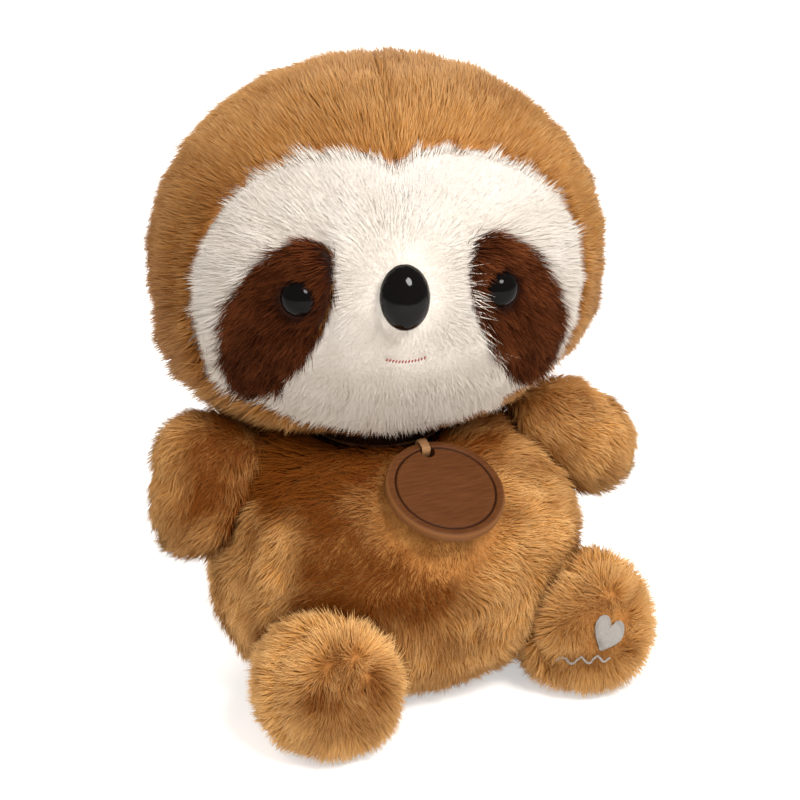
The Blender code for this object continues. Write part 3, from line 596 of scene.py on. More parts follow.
faceShape = {
    "strands": 24000, "bare": 0.6 * mm, "feature reach": 15 * mm, "feature pile": 0.32,
    "edge reach": 9 * mm, "edge short": 0.35, "high short": 0.25, "high": (-5 * mm, 25 * mm),
    "edge low": (-38 * mm, -28 * mm), "brow high": (14 * mm, 30 * mm), "brow width": (20 * mm, 45 * mm),
    "brow short": 0.35, "brow tone": 0.25, "tone": 0.6, "cloud": (0.08, 14 * mm, 9),
    "chin high": -28 * mm, "chin shade": 0.2, "patch reach": 7 * mm,
    "patch pile": {"left": 0.55, "right": 0.34},
}
fringeSettings = {
    **faceSettings, "Length": 6.4 * mm, "Lift": 0.42, "Clump Density": 0.24e6, "Clump Share": 0.32,
    "Seed": 27,
}
fringeShape = {
    "strands": 3600, "border": (0.5 * mm, 4 * mm), "high": (-30 * mm, -15 * mm), "pile": 0.8,
    "cloud": (0.25, 8 * mm, 15),
}
wispSettings = {
    **faceSettings, "Length": 8.0 * mm, "Lift": 0.30, "Wander": 0.40, "Clump Share": 0.10, "Seed": 37,
}
wispShape = {"strands": 420, "border": (0.5 * mm, 4 * mm), "bare": 2 * mm}
patchSettings = {
    "Length": 6.6 * mm, "Length Spread": 0.35, "Lift": 0.50, "Wander": 0.38, "Clump Density": 0.24e6,
    "Clump Share": 0.34, "Wave": 0.50, "Wave Size": 150.0, "Tone Spread": 0.9, "Soft Shading": 0.35,
    "Seed": 31,
}
patchShape = {
    "strands": 7500, "bare": 0.4 * mm, "feature reach": 7 * mm, "feature pile": 0.72, "fall": 0.7,
    # Each tone pair is a level and a painted shade slope from the foot of the patch to its brow
    "cloud": (0.15, 9 * mm, 13), "tone": {"left": (0.52, 0.06), "right": (0.41, 0.22)},
}
headShape = {
    "turn": (-0.55, 0.25), "turn size": 60, "fall": 0.15, "swirl": (0.10, 45 * mm, 5),
    "eye gap": 6.2 * mm, "nose gap": 10.5 * mm, "nose aspect": 0.64, "mouth gap": 0.9 * mm,
    "mouth aspect": 25, "voxel": 1.6 * mm, "patch voxel": 1.5 * mm,
}


def headComb(points, normals):
    forward = (points - headMiddle) @ headForward / headShape["turn size"] / mm
    ahead = smoothstep(*headShape["turn"], forward)[:, None]
    flow = unit(points - noseMiddle) * ahead + down * (1 - ahead) + down * headShape["fall"]
    return combed(points, normals, flow, headShape["swirl"])


def ovalDistance(points, middle, aspect):
    across = points - middle
    return np.sqrt((across[:, 0] ** 2 + across[:, 1] ** 2) / aspect + across[:, 2] ** 2)


def nearFeatures(points):
    # Distance to the nearest of the eyes, the nose and the mouth, less its own size
    gaps = [np.linalg.norm(points - middle, axis=1) - headShape["eye gap"] for middle in eyeMiddles]
    gaps.append(ovalDistance(points, noseMiddle, headShape["nose aspect"]) - headShape["nose gap"])
    gaps.append(ovalDistance(points, mouthMiddle, headShape["mouth aspect"]) - headShape["mouth gap"])
    return np.minimum.reduce(gaps)


def dressHood(side):
    shape = hoodShape
    skin, points, normals = makeSkin("hoodSkin_" + side, "hood_" + side, "brown", voxel=headShape["voxel"])
    cover = outerShare(points, normals, headMiddle)
    clear = clearOf(points, [torsoTree], shape["neck reach"])
    edge = smoothstep(0, shape["edge reach"], gapTo(points, "face_panel"))
    forward = (points - headMiddle) @ headForward / mm
    height = points[:, 2] - headMiddle[2]
    chin = (1 - smoothstep(*shape["chin low"], height)) * (forward > shape["chin front"])
    chin = chin * (1 - smoothstep(*shape["chin width"], np.abs(points[:, 0])))
    crown = smoothstep(0, shape["crown reach"], height)
    # The low corners of the head hang fuller
    corner = np.maximum(*(nearSpot(points, *spot) for spot in shape["corners"]))
    pile = rising(shape["neck pile"], clear) * rising(shape["edge pile"], edge)
    pile *= 1 + shape["crown pile"] * (1 - crown)
    pile *= (1 - shape["chin pile"] * chin) * (1 + shape["corner pile"] * corner)
    # Painted shade: the pile is darker under the chin and on the far side of the head
    tone = shape["tone"] + cloudOf(points, shape["cloud"]) - shape["chin shade"] * chin
    tone -= shape["far side shade"] * (1 - smoothstep(*shape["far side"], points[:, 0]))
    comb = headComb(points, normals)
    for label, half in halves(("front", "back"), forward, 1):
        growFur("hoodFur_" + side + "_" + label, skin, "brown", hoodSettings,
                (side == "left") * 2 + (label == "back"), shape[label + " strands"], comb, cover * half, pile,
                tone, 1 + shape["corner rise"] * corner)


def dressFace():
    shape = faceShape
    skin, points, normals = makeSkin("faceSkin", "face_panel", "white", voxel=headShape["voxel"])
    gaps, edge = nearFeatures(points), gapTo(points, "hood_left", "hood_right")
    lift = points[:, 2] - noseMiddle[2]
    cover = outerShare(points, normals, headMiddle) * smoothstep(0, shape["bare"], gaps)
    pile = rising(shape["feature pile"], smoothstep(0, shape["feature reach"], gaps))
    short = shape["edge short"] + shape["high short"] * smoothstep(*shape["high"], lift)
    pile *= 1 - short * within(shape["edge reach"], edge) * smoothstep(*shape["edge low"], lift)
    brow = smoothstep(*shape["brow high"], lift)
    brow *= 1 - smoothstep(*shape["brow width"], np.abs(points[:, 0]))
    pile *= 1 - shape["brow short"] * brow
    tone = shape["tone"] + cloudOf(points, shape["cloud"]) + shape["brow tone"] * brow
    # Painted shade: darker below the nose, towards the chin
    tone -= shape["chin shade"] * (1 - smoothstep(shape["chin high"], 0, lift))
    fromNose = np.linalg.norm(points - noseMiddle, axis=1)
    for side, least in shape["patch pile"].items():
        # Shorter where it would fall over a patch
        patchMiddle = cornersOf("eye_patch_" + side).mean(0)
        inward = fromNose < np.linalg.norm(patchMiddle - noseMiddle)
        beside = within(shape["patch reach"], gapTo(points, "eye_patch_" + side))
        pile *= 1 - (1 - least) * inward * beside
    comb = headComb(points, normals)
    for side, half in halves(sides, points[:, 0] - noseMiddle[0], 0.5 * mm):
        growFur("faceFur_" + side, skin, "white", faceSettings, side == "left", shape["strands"], comb,
                cover * half, pile, tone)
    # Uneven tufts that stand over the hood along the upper border
    shape = fringeShape
    border = (1 - smoothstep(*shape["border"], edge)) * smoothstep(*shape["high"], lift)
    growFur("faceFringe", skin, "white", fringeSettings, 0, shape["strands"], comb, cover * border,
            shape["pile"] + cloudOf(points, shape["cloud"]), tone)
    # A few silvery wisps stray over the inner border of the left patch
    shape = wispShape
    inner = points[:, 0] < cornersOf("eye_patch_left").mean(0)[0]
    wisp = (1 - smoothstep(*shape["border"], gapTo(points, "eye_patch_left"))) * inner
    growFur("patchWisps", skin, "white", wispSettings, 0, shape["strands"], comb,
            wisp * smoothstep(0, shape["bare"], gaps), np.ones(len(points)), tone)


def dressPatch(side):
    shape = patchShape
    skin, points, normals = makeSkin("patchSkin_" + side, "eye_patch_" + side, "dark",
                                     voxel=headShape["patch voxel"])
    gaps = nearFeatures(points)
    cover = outerShare(points, normals, headMiddle) * smoothstep(0, shape["bare"], gaps)
    pile = rising(shape["feature pile"], smoothstep(0, shape["feature reach"], gaps))
    comb = tangential(headComb(points, normals) + down * shape["fall"], normals)
    # Each patch is darker at its foot and paler at its brow, the right one much more so: painted shade
    level, shadeSlope = shape["tone"][side]
    height = (points[:, 2] - points[:, 2].mean()) / np.ptp(points[:, 2]) * 2
    growFur("patchFur_" + side, skin, "dark", patchSettings, side == "left", shape["strands"], comb, cover,
            pile, level + cloudOf(points, shape["cloud"]) + shadeSlope * height)


# Body

bodySettings = {
    "Sliver": shortSliver, "Length": 5.8 * mm, "Length Spread": 0.35, "Lift": 0.60, "Wander": 0.36,
    "Clump Density": 0.14e6, "Clump Share": 0.30, "Wave": 0.80, "Wave Size": 120.0, "Tone Spread": 0.42,
    "Soft Shading": 0.7, "Seed": 41,
}
bodyShape = {
    "front strands": 24500, "back strands": 12800, "foot": (0.5 * mm, 2.5 * mm), "clear": 6 * mm,
    "clear pile": 0.4, "foot reach": (0.5 * mm, 9 * mm), "foot pile": 0.5, "fold reach": 9 * mm,
    "crease shade": 0.40, "head reach": 34 * mm, "head shade": 0.50, "tag edge": (-2 * mm, 4 * mm),
    "tag short": 0.6, "spread": 30 * mm, "high": (20 * mm, 70 * mm), "fall": 0.8, "sideways": (0.4, 0.9),
    "swirl": (0.45, 26 * mm, 17), "tone": 0.62, "cloud": (0.16, 16 * mm, 19),
    "parted": (((-32, -38, 53.5), 25), ((-15, -43, 50.5), 25)), "parted roots and shade": 0.95,
    "parted cloud": (0.10, 9 * mm, 33), "parted short": 0.3, "parted rise": 0.6,
    "chestShade": (((-34, -12, 78.5), 30), ((-8, -20, 80.5), 24)), "chestShade tone": 0.90,
    "shoulder": ((-40, 10, 80.5), 24), "shoulder pile": 1.8, "shoulder rise": 0.8,
}


def dressBody(label):
    shape = bodyShape
    skin, points, normals = makeSkin("bodySkin_" + label, "torso_" + label, "brown")
    height = points[:, 2]
    clear = clearOf(points, [headTree, *armTrees, *legTrees], shape["clear"])
    fold = 1 - clearOf(points, [*armTrees, *legTrees], shape["fold reach"])
    underHead = 1 - clearOf(points, [headTree], shape["head reach"])
    fromTag = points - np.array(tagMiddle)
    behind = fromTag @ np.array(tagNormal)
    fromTag = np.linalg.norm(fromTag - behind[:, None] * np.array(tagNormal), axis=1)
    # The nap is brushed open on the belly, shorter and more upright there, and darker: partly its darker
    # roots, partly painted shade. The chest below the chin is darkened by painted shade alone
    parted, chestShade = (np.maximum(*(nearSpot(points, *spot) for spot in shape[place]))
                       for place in ("parted", "chestShade"))
    shoulder = nearSpot(points, *shape["shoulder"])
    cover = outerShare(points, normals, torsoMiddle) * smoothstep(*shape["foot"], height)
    cover *= opened(clear)
    pile = rising(shape["clear pile"], clear)
    pile *= rising(shape["foot pile"], smoothstep(*shape["foot reach"], height))
    tagEdge = [tagRadius + step for step in shape["tag edge"]]
    pile *= 1 - shape["tag short"] * (1 - smoothstep(*tagEdge, fromTag))
    pile *= (1 - shape["parted short"] * parted) * (1 + shape["shoulder pile"] * shoulder)
    tone = shape["tone"] + cloudOf(points, shape["cloud"])
    # Painted shade: darker beside the arms and legs, under the head and on the chest below the chin
    tone -= shape["crease shade"] * fold + shape["head shade"] * underHead + shape["chestShade tone"] * chestShade
    tone -= (shape["parted roots and shade"] + cloudOf(points, shape["parted cloud"])) * parted
    sideways = np.zeros_like(points)
    sideways[:, 0] = np.sign(points[:, 0]) * smoothstep(0, shape["spread"], np.abs(points[:, 0]))
    least, more = shape["sideways"]
    sideways *= (least + more * smoothstep(*shape["high"], height))[:, None]
    comb = combed(points, normals, down * shape["fall"] + sideways, shape["swirl"])
    for side, half in halves(sides, points[:, 0], mm):
        growFur("bodyFur_" + label + "_" + side, skin, "brown", bodySettings,
                (label == "back") * 2 + (side == "left"), shape[label + " strands"], comb, cover * half, pile,
                tone, 1 + shape["parted rise"] * parted + shape["shoulder rise"] * shoulder)


# Limbs

armSettings = {
    **bodySettings, "Length": 5.6 * mm, "Length Spread": 0.3, "Lift": 0.55, "Wander": 0.34,
    "Clump Share": 0.28, "Wave": 0.75, "Seed": 53,
}
armShape = {
    "strands": 14000, "clear": 5 * mm, "clear pile": 0.5, "fold reach": 8 * mm, "crease shade": 0.45,
    "head reach": 22 * mm, "head shade": 0.60, "tone": 0.58, "cloud": (0.14, 14 * mm, 23),
    "shade": {"left": (0.12, (56, 0, 82.5)), "right": (0.55, (-54, -4, 74.5))}, "shade reach": 36,
    "fall": 0.45, "swirl": (0.3, 24 * mm, 29), "tip reach": 20, "tip pile": 0.45,
}
legSettings = {
    **bodySettings, "Length": 6.2 * mm, "Length Spread": 0.3, "Lift": 0.90, "Clump Share": 0.26,
    "Wave": 0.60, "Seed": 61,
}
legShape = {
    "leg strands": 11000, "sole strands": 8500, "foot": (0.5 * mm, 2.5 * mm), "clear": 5 * mm,
    "clear pile": 0.55, "foot reach": (0.5 * mm, 10 * mm), "foot pile": 0.45, "flat": (0.78, 0.94),
    "fall": (0.35, 0.25), "swirl": (0.25, 22 * mm, 37), "sole swirl": (0.5, 9 * mm, 43),
    "bare": (0.3 * mm, 1.0 * mm), "thread reach": (0.5 * mm, 7 * mm), "thread pile": 0.50,
    "fold reach": 8 * mm, "crease shade": 0.45, "tone": 0.82, "cloud": (0.14, 12 * mm, 27),
    "sole tone": 0.46, "sole cloud": (0.08, 5 * mm, 47), "sole edge": (0.70, 0.93), "sole short": 0.25,
    "rise": 0.55, "rise edge": (0.1, 0.7),
}


def dressArm(side):
    shape, source = armShape, "arm_" + side
    skin, points, normals = makeSkin("armSkin_" + side, source, "brown", ["arm_stuffing_" + side])
    middle, corners = boxMiddle(source), cornersOf(source)
    clear = clearOf(points, [torsoTree, headTree], shape["clear"])
    cover = outerShare(points, normals, middle) * opened(clear)
    # Painted shade: darker round one spot on each arm, much more on the right arm, where the arm meets the
    # torso, and under the head
    shade, spot = shape["shade"][side]
    tone = shape["tone"] + cloudOf(points, shape["cloud"])
    tone -= shade * nearSpot(points, spot, shape["shade reach"])
    tone -= shape["crease shade"] * (1 - clearOf(points, [torsoTree], shape["fold reach"]))
    tone -= shape["head shade"] * (1 - clearOf(points, [headTree], shape["head reach"]))
    along = unit(middle - np.array(jointOf(source)["pos_m"]))
    comb = combed(points, normals, along + down * shape["fall"], shape["swirl"])
    tip = nearSpot(points, corners[corners[:, 2].argmin()] / mm, shape["tip reach"])
    growFur("armFur_" + side, skin, "brown", armSettings, side == "left", shape["strands"], comb, cover,
            rising(shape["clear pile"], clear) * (1 + shape["tip pile"] * tip), tone)


def dressLeg(side, part, source, also=()):
    shape = legShape
    skin, points, normals = makeSkin(part + "Skin_" + side, source, "brown", also)
    middle, height = boxMiddle("leg_" + side, "sole_" + side), points[:, 2]
    out = unit(cornersOf("sole_" + side).mean(0) - middle)
    facing = unit(points - middle) @ out
    flat = smoothstep(*shape["flat"], facing)
    clear = clearOf(points, [torsoTree], shape["clear"])
    cover = outerShare(points, normals, middle) * smoothstep(*shape["foot"], height)
    cover *= opened(clear)
    pile = rising(shape["clear pile"], clear) * (1 - shape["sole short"] * flat)
    pile *= rising(shape["foot pile"], smoothstep(*shape["foot reach"], height))
    if side == "left":
        threads = cornersOf("heart_patch", "sole_stitching")
        gap = np.sqrt(((points[:, None, :] - threads[None, :, :]) ** 2).sum(2)).min(1)
        cover *= smoothstep(*shape["bare"], gap)
        pile *= rising(shape["thread pile"], smoothstep(*shape["thread reach"], gap))
    tone = shape["tone"] + cloudOf(points, shape["cloud"])
    # Painted shade: darker where the leg meets the torso
    tone -= shape["crease shade"] * (1 - clearOf(points, [torsoTree], shape["fold reach"]))
    darker = shape["sole tone"] + cloudOf(points, shape["sole cloud"])
    tone -= darker * smoothstep(*shape["sole edge"], facing)
    least, more = shape["fall"]
    flat = flat[:, None]
    flow = -out * (1 - flat) + down * (least + more * flat) + swirlOf(points, shape["sole swirl"]) * flat
    growFur(part + "Fur_" + side, skin, "brown", legSettings, (side == "left") * 2 + (part == "sole"),
            shape[part + " strands"], combed(points, normals, flow, shape["swirl"]), cover, pile, tone,
            rising(shape["rise"], smoothstep(*shape["rise edge"], facing)))


for side in sides:
    dressHood(side)
dressFace()
for side in sides:
    dressPatch(side)
for label in ("front", "back"):
    dressBody(label)
for side in sides:
    dressArm(side)
    dressLeg(side, "leg", "leg_" + side, ["leg_stuffing_" + side])
    dressLeg(side, "sole", "sole_" + side)
print("plush done")


# Eyes, nose, tag and threads

def standFor(piece, source):
    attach(piece, nodes[source]["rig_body"])
    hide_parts(source)


def smoothCopy(name, source, material, levels):
    piece = addMesh(name, nodeMesh(source))
    piece.data.materials.append(material)
    piece.data.shade_smooth()
    rounder = piece.modifiers.new("rounder", "SUBSURF")
    rounder.levels = rounder.render_levels = levels
    standFor(settle(piece), source)


def plasticMaterial(name, shine):
    black = rgba((0.003, 0.0025, 0.0025))
    material, tree, shader = newMaterial(name, Base_Color=black, Specular_IOR_Level=shine)
    haze = noiseOf(tree, objectPlace(tree), 260.0)
    spread = give(tree, "ShaderNodeMapRange", {"To Min": 0.05, "To Max": 0.11, "Value": haze})
    feed(tree, shader, {"Roughness": spread})
    return material


def threadMaterial(name, colour, roughness=0.5):
    material, tree, shader = newMaterial(name, Roughness=roughness)
    strands = give(tree, "ShaderNodeTexWave",
                   {"Scale": 900.0, "Distortion": 2.0, "Vector": objectPlace(tree)})
    shadow = 0.5
    stops = [(0, [channel * shadow for channel in colour]), (1, colour)]
    feed(tree, shader, {"Base Color": colourRamp(tree, strands, stops),
                        "Normal": bumpOf(tree, strands, 0.6, 0.15 * mm)})
    return material


def woodMaterial():
    # Stained disc with a burnt groove: the burn attribute is 1 in the groove and negative on the paler rim
    burnt, rim = (0.018, 0.005, 0.002), (0.180, 0.072, 0.023)
    stain = [(0.3, (0.078, 0.025, 0.007)), (0.75, (0.125, 0.043, 0.013))]
    material, tree, shader = newMaterial("tagWood", Roughness=0.5, Specular_IOR_Level=0.12)
    stretched = {"Scale": (1.0, 10.0, 10.0), "Vector": objectPlace(tree)}
    grain = noiseOf(tree, give(tree, "ShaderNodeMapping", stretched), 150.0, 6.0)
    burn = node(tree, "ShaderNodeAttribute", attribute_name="burn").outputs["Fac"]
    pale = give(tree, "ShaderNodeMath", {0: burn, 1: -1.0}, operation="MULTIPLY")
    wood = mixColours(tree, burn, colourRamp(tree, grain, stain), rgba(burnt))
    feed(tree, shader, {"Base Color": mixColours(tree, pale, wood, rgba(rim)),
                        "Normal": bumpOf(tree, grain, 0.2, 0.08 * mm)})
    return material


def lathed(name, profile, steps, middle, side, up, out):
    # Spins (radius, height) points about out, from the front middle to the back middle
    verts, faces = [], []
    for radius, height in profile:
        for step in range(steps if radius else 1):
            angle = 2 * math.pi * step / steps
            spoke = side * math.cos(angle) + up * math.sin(angle)
            verts.append(middle + spoke * radius + out * height)
    first = 0
    for (radius, _), (after, _) in zip(profile, profile[1:]):
        second = first + (steps if radius else 1)
        for step in range(steps):
            onward = (step + 1) % steps
            if not radius:
                faces.append((first, second + step, second + onward))
            elif not after:
                faces.append((first + onward, first + step, second))
            else:
                faces.append((first + onward, first + step, second + step, second + onward))
        first = second
    return addMesh(name, (verts, [], faces))


def makeTagDisc():
    groove, grooveHalf, grooveDepth, hole = 16.0 * mm, 0.55 * mm, 0.5 * mm, 2.4 * mm
    curve, rimStart, rimFade, steps, holeSteps, quarter = 1.2 * mm, 1.0 * mm, 0.7 * mm, 112, 32, math.pi / 2
    rings, grooveRings, curveRings, sharp = (0.15, 0.3, 0.45, 0.6, 0.75, 0.9, 0.98), 4, 6, math.radians(50)
    insideRim, offGroove, besideHole, highUp = 0.97, 0.9 * mm, 3 * mm, 0.5
    out = Vector(jointOf("tag")["axis"]).normalized()
    side = (Vector((1, 0, 0)) - out * out.x).normalized()
    up = out.cross(side)
    corners = [Vector(point) for point in cornersOf("tag_disc")]
    spans = [(min(c.dot(way) for c in corners), max(c.dot(way) for c in corners)) for way in (side, up, out)]
    middle = sum(((low + high) / 2 * way for (low, high), way in zip(spans, (side, up, out))), Vector())
    radius, half = (spans[0][1] - spans[0][0]) / 2, (spans[2][1] - spans[2][0]) / 2

    def spokeOf(point):
        flat = point - middle
        return (flat - out * flat.dot(out)).length

    profile = [(0, half)] + [(share * (groove - grooveHalf), half) for share in rings]
    for step in range(-grooveRings, grooveRings + 1):
        dip = grooveDepth * (0.5 + 0.5 * math.cos(math.pi * step / grooveRings))
        profile.append((groove + step / grooveRings * grooveHalf, half - dip))
    for turn, height in ((0, half - curve), (1, curve - half)):
        for step in range(curveRings + 1):
            angle = quarter * (turn + step / curveRings)
            profile.append((radius - curve + curve * math.sin(angle), height + curve * math.cos(angle)))
    disc = lathed("tagDisc", profile + [(0, -half)], steps, middle, side, up, out)
    # The hole's place is read from the corners of the CAD disc's own hole, between its groove and its middle
    ring = [(c - middle).dot(up) for c in corners
            if spokeOf(c) < radius * insideRim and abs(spokeOf(c) - groove) > offGroove
            and abs((c - middle).dot(side)) < besideHole and (c - middle).dot(up) > radius * highUp]
    high = (max(ring) + min(ring)) / 2
    through = [(0, half * 3), (hole, half * 3), (hole, -half * 3), (0, -half * 3)]
    drill = lathed("tagDrill", through, holeSteps, middle + up * high, side, up, out)
    cut = disc.modifiers.new("hole", "BOOLEAN")
    cut.operation, cut.solver, cut.object = "DIFFERENCE", "EXACT", drill
    settle(disc)
    bpy.data.objects.remove(drill)
    burn = []
    for vertex in disc.data.vertices:
        spread = spokeOf(vertex.co)
        inGroove = max(0.0, 1 - abs(spread - groove) / grooveHalf)
        onRim = min(1.0, max(0.0, (spread - radius + rimStart) / rimFade))
        burn.append((inGroove if (vertex.co - middle).dot(out) > 0 else 0.0) - onRim)
    storeAttribute(disc.data, "burn", "FLOAT", burn)
    disc.data.materials.append(woodMaterial())
    disc.data.shade_smooth()
    disc.data.set_sharp_from_angle(angle=sharp)
    standFor(disc, "tag_disc")
    print("tag hole at", round(high / mm, 2), "mm up, radius", round(radius / mm, 2))


def buildStitchTree():
    inputs = [("Stitch", "Object"), ("Count", "Int"), ("Facing", "Vector"), ("Slant", "Float"),
              ("Size", "Vector")]
    tree, start, end = geometryGroup("threadStitches", inputs)
    curve = give(tree, "GeometryNodeMeshToCurve", {0: start["Geometry"]})
    even = give(tree, "GeometryNodeResampleCurve", {"Curve": curve, "Count": start["Count"]})
    tangent = give(tree, "GeometryNodeInputTangent")
    slanted = give(tree, "ShaderNodeVectorRotate",
                   {"Vector": tangent, "Axis": start["Facing"], "Angle": start["Slant"]},
                   rotation_type="AXIS_ANGLE")
    stitch = node(tree, "GeometryNodeObjectInfo", {"Object": start["Stitch"]})
    place = give(tree, "GeometryNodeInstanceOnPoints",
                 {"Points": even, "Instance": stitch.outputs["Geometry"],
                  "Rotation": turnTo(tree, start["Facing"], slanted), "Scale": start["Size"]})
    real = give(tree, "GeometryNodeRealizeInstances", {0: place})
    return closeGroup(tree, start, end, real)


def makeStitch():
    radius, rings, steps = 0.5, 6, 8
    angles = [math.pi * ring / rings for ring in range(1, rings)]
    profile = [(radius * math.sin(angle), radius * math.cos(angle)) for angle in angles]
    axes = (Vector((1, 0, 0)), Vector((0, 1, 0)), Vector((0, 0, 1)))
    piece = lathed("stitch", [(0, radius), *profile, (0, -radius)], steps, Vector(), *axes)
    piece.data.shade_smooth()
    piece.hide_render = True
    return piece


def centreLine(source, count):
    # The middle of a long thin node, end to end
    overlap = 0.75
    corners = cornersOf(source)
    along = np.linalg.svd(corners - corners.mean(0), full_matrices=False)[2][0]
    reach = (corners - corners.mean(0)) @ along
    stops = np.linspace(reach.min(), reach.max(), count)
    width = (stops[1] - stops[0]) * overlap
    return [Vector(corners[np.abs(reach - stop) <= width].mean(0)) for stop in stops]


def stitchRow(name, source, material, settings, facing):
    line = centreLine(source, settings["samples"])
    row = addMesh(name, (line, [(index, index + 1) for index in range(len(line) - 1)], []))
    inputs = {"Stitch": stitch, "Material": material, "Facing": Vector(facing), **settings}
    addNodesModifier(row, stitchTree, inputs)
    settle(row)
    row.data.shade_smooth()
    standFor(row, source)


def satinHeart(material):
    # Rows of thread laid side by side over the raised heart
    spacing, radius, slant, crown = 0.34 * mm, 0.24 * mm, math.radians(35), 0.35 * mm
    reach, above, rows, casts, rings, corners = 9 * mm, 10 * mm, 26, 60, 9, 6
    facing, fewest, fullRow, tip, taper, sunk = 0.5, 4, 40, 0.15, 4, 0.3
    tree = treeOf(nodeMesh("heart_patch"))
    middle = Vector(cornersOf("heart_patch").mean(0))
    out = (middle - Vector(boxMiddle("leg_left", "sole_left"))).normalized()
    side = Vector((0, 0, 1)).cross(out).normalized()
    along = side * math.cos(slant) + out.cross(side) * math.sin(slant)
    across = out.cross(along)
    verts, faces = [], []
    for row in range(-rows, rows + 1):
        hits = []
        for step in range(-casts, casts + 1):
            start = middle + out * above + across * row * spacing + along * step / casts * reach
            place, normal, _, _ = tree.ray_cast(start, -out)
            if place is not None and normal.dot(out) > facing:
                hits.append(place)
        if len(hits) < fewest:
            continue
        base = len(verts)
        for ring in range(rings):
            share = ring / (rings - 1)
            thin = max(tip, min(1.0, taper * min(share, 1 - share) + tip))
            rise = crown * math.sin(math.pi * share) * min(1, len(hits) / fullRow) - radius * sunk
            centre = hits[round(share * (len(hits) - 1))] + out * rise
            for corner in range(corners):
                angle = 2 * math.pi * corner / corners
                verts.append(centre + (across * math.cos(angle) + out * math.sin(angle)) * radius * thin)
        for first in range(base, base + corners * (rings - 1), corners):
            for corner in range(corners):
                after, onward = (corner + 1) % corners, first + corners
                faces.append((first + corner, first + after, onward + after, onward + corner))
        last = base + corners * (rings - 1)
        faces += [list(range(base, base + corners))[::-1], list(range(last, last + corners))]
    threads = addMesh("heartThreads", (verts, [], faces))
    threads.data.materials.append(material)
    threads.data.shade_smooth()
    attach(threads, nodes["heart_patch"]["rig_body"])


eyeBlack, noseBlack = plasticMaterial("blackPlastic", 0.12), plasticMaterial("nosePlastic", 0.20)
for name, material in (("eye_left", eyeBlack), ("eye_right", eyeBlack), ("nose", noseBlack)):
    smoothCopy(name + "Dome", name, material, 3)
washerPlastic = newMaterial("washerPlastic", Roughness=0.45, Base_Color=rgba((0.75, 0.75, 0.73)))[0]
for name in ("eye_washer_left", "eye_washer_right", "nose_washer"):
    smoothCopy(name + "Ring", name, washerPlastic, 1)
stitchTree, stitch = buildStitchTree(), makeStitch()
silver = threadMaterial("silverThread", (0.46, 0.43, 0.40), 0.4)
stitchRow("mouthStitches", "mouth_stitch", threadMaterial("mouthPink", (0.42, 0.10, 0.075)),
          {"samples": 9, "Count": 13, "Slant": math.radians(68), "Size": (1.25 * mm, 0.60 * mm, 0.60 * mm)},
          unit(mouthMiddle - headMiddle))
stitchRow("soleStitches", "sole_stitching", silver,
          {"samples": 49, "Count": 34, "Slant": math.radians(28), "Size": (1.35 * mm, 0.62 * mm, 0.62 * mm)},
          unit(cornersOf("sole_stitching").mean(0) - cornersOf("leg_left", "sole_left").mean(0)))
smoothCopy("heartBase", "heart_patch", silver, 1)
satinHeart(silver)
smoothCopy("neckThread", "neck_seam", threadMaterial("seamBrown", (0.20, 0.085, 0.03)), 1)
# The neck stuffing takes the dark backing as painted shade in the gap under the chin
for name, kind in (("neck", "dark"), ("head", "brown"), ("body", "dark")):
    smoothCopy(name + "Core", name + "_stuffing", backingMaterials[kind], 0)
makeTagDisc()
smoothCopy("tagStrap", "tag_loop", threadMaterial("strapBrown", (0.42, 0.21, 0.085), 0.6), 2)
for helper in (sliver, shortSliver, stitch):
    bpy.data.objects.remove(helper)
print("trims done")


# Stage, lights and camera

def makeStage():
    size, glow, near, far = 12.0, 0.45, 0.4, 1.8
    corners = [(-size, -size, 0), (size, -size, 0), (size, size, 0), (-size, size, 0)]
    floor = addMesh("floor", (corners, [], [(0, 1, 2, 3)]))
    material, tree, shader = newMaterial("floorPaper", Roughness=0.9, Base_Color=rgba((0.86, 0.86, 0.86)),
                                         Emission_Color=rgba((1, 1, 1)))
    away = node(tree, "ShaderNodeVectorMath", {0: objectPlace(tree)}, operation="LENGTH").outputs["Value"]
    # The lamps fade with distance, so the far floor glows more
    more = give(tree, "ShaderNodeMapRange",
                {"From Min": near, "From Max": far, "To Min": glow, "To Max": 1.0, "Value": away})
    seen = node(tree, "ShaderNodeLightPath").outputs["Is Camera Ray"]
    glows = give(tree, "ShaderNodeMath", {0: seen, 1: more}, operation="MULTIPLY")
    feed(tree, shader, {"Emission Strength": glows})
    floor.data.materials.append(material)


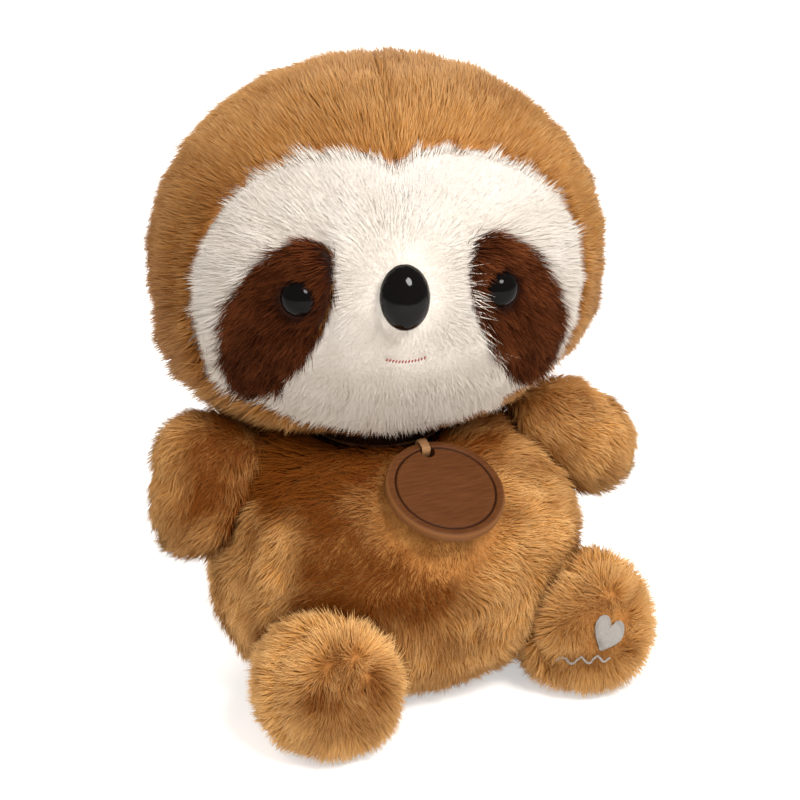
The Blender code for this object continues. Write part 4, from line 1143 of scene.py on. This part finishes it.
def makeWorld():
    fill, fillColour = 0.28, (1.0, 0.94, 0.87)
    world = bpy.data.worlds.new("studio")
    bpy.context.scene.world = world
    world.use_nodes = True
    tree = world.node_tree
    tree.nodes.clear()
    path = node(tree, "ShaderNodeLightPath").outputs
    seen = give(tree, "ShaderNodeMath", {0: path["Is Camera Ray"], 1: path["Is Transmission Ray"]},
                operation="MAXIMUM")
    light = give(tree, "ShaderNodeBackground", {"Color": rgba(fillColour), "Strength": fill})
    back = give(tree, "ShaderNodeBackground", {"Color": rgba((1, 1, 1)), "Strength": 1.0})
    mix = give(tree, "ShaderNodeMixShader", {0: seen, 1: light, 2: back})
    node(tree, "ShaderNodeOutputWorld", {"Surface": mix})


def placeInScene(name, data, place, away):
    # Away is the way from the aim to the piece
    piece = addPiece(name, data)
    piece.location = place
    piece.rotation_mode = "QUATERNION"
    piece.rotation_quaternion = (-away).to_track_quat("-Z", "Y")
    return piece


def makeLamp(name, place, size, power, colour):
    lamp = bpy.data.lights.new(name, "AREA")
    lamp.shape, lamp.size, lamp.energy, lamp.color = "DISK", size, power, colour
    place, aim = Vector(place), Vector((0, -0.01, 0.1))
    placeInScene(name, lamp, place, place - aim).visible_glossy = name in ("key", "rim")


def makeCamera():
    azimuth, elevation, distance = math.radians(-25.7), math.radians(21.9), 824.3 * mm
    target = Vector((-2.3, -10.0, 95.1)) * mm
    back = Vector((math.sin(azimuth) * math.cos(elevation), -math.cos(azimuth) * math.cos(elevation),
                   math.sin(elevation)))
    camera = bpy.data.cameras.new("camera")
    camera.lens, camera.sensor_width = 116.84, 36.0
    camera.clip_start, camera.clip_end = 0.01, 100
    bpy.context.scene.camera = placeInScene("camera", camera, target + back * distance, back)


makeStage()
makeWorld()
for lamp in (("key", (0.12, -0.85, 1.00), 0.45, 13.6, (1.0, 0.98, 0.95)),
             ("fill", (0.95, -0.65, 0.60), 0.7, 3.0, (1.0, 0.96, 0.90)),
             ("left", (-0.95, -0.40, 0.95), 0.8, 3.9, (1.0, 0.96, 0.90)),
             ("front", (-0.45, -1.10, 0.40), 0.8, 3.9, (1.0, 0.96, 0.90)),
             ("rim", (0.4, 0.95, 0.9), 0.6, 6.0, (1.0, 0.97, 0.93)),
             ("back", (-0.7, 0.9, 0.7), 0.8, 6.0, (1.0, 0.97, 0.93))):
    makeLamp(*lamp)
makeCamera()
bpy.context.scene.view_settings.view_transform = "Standard"
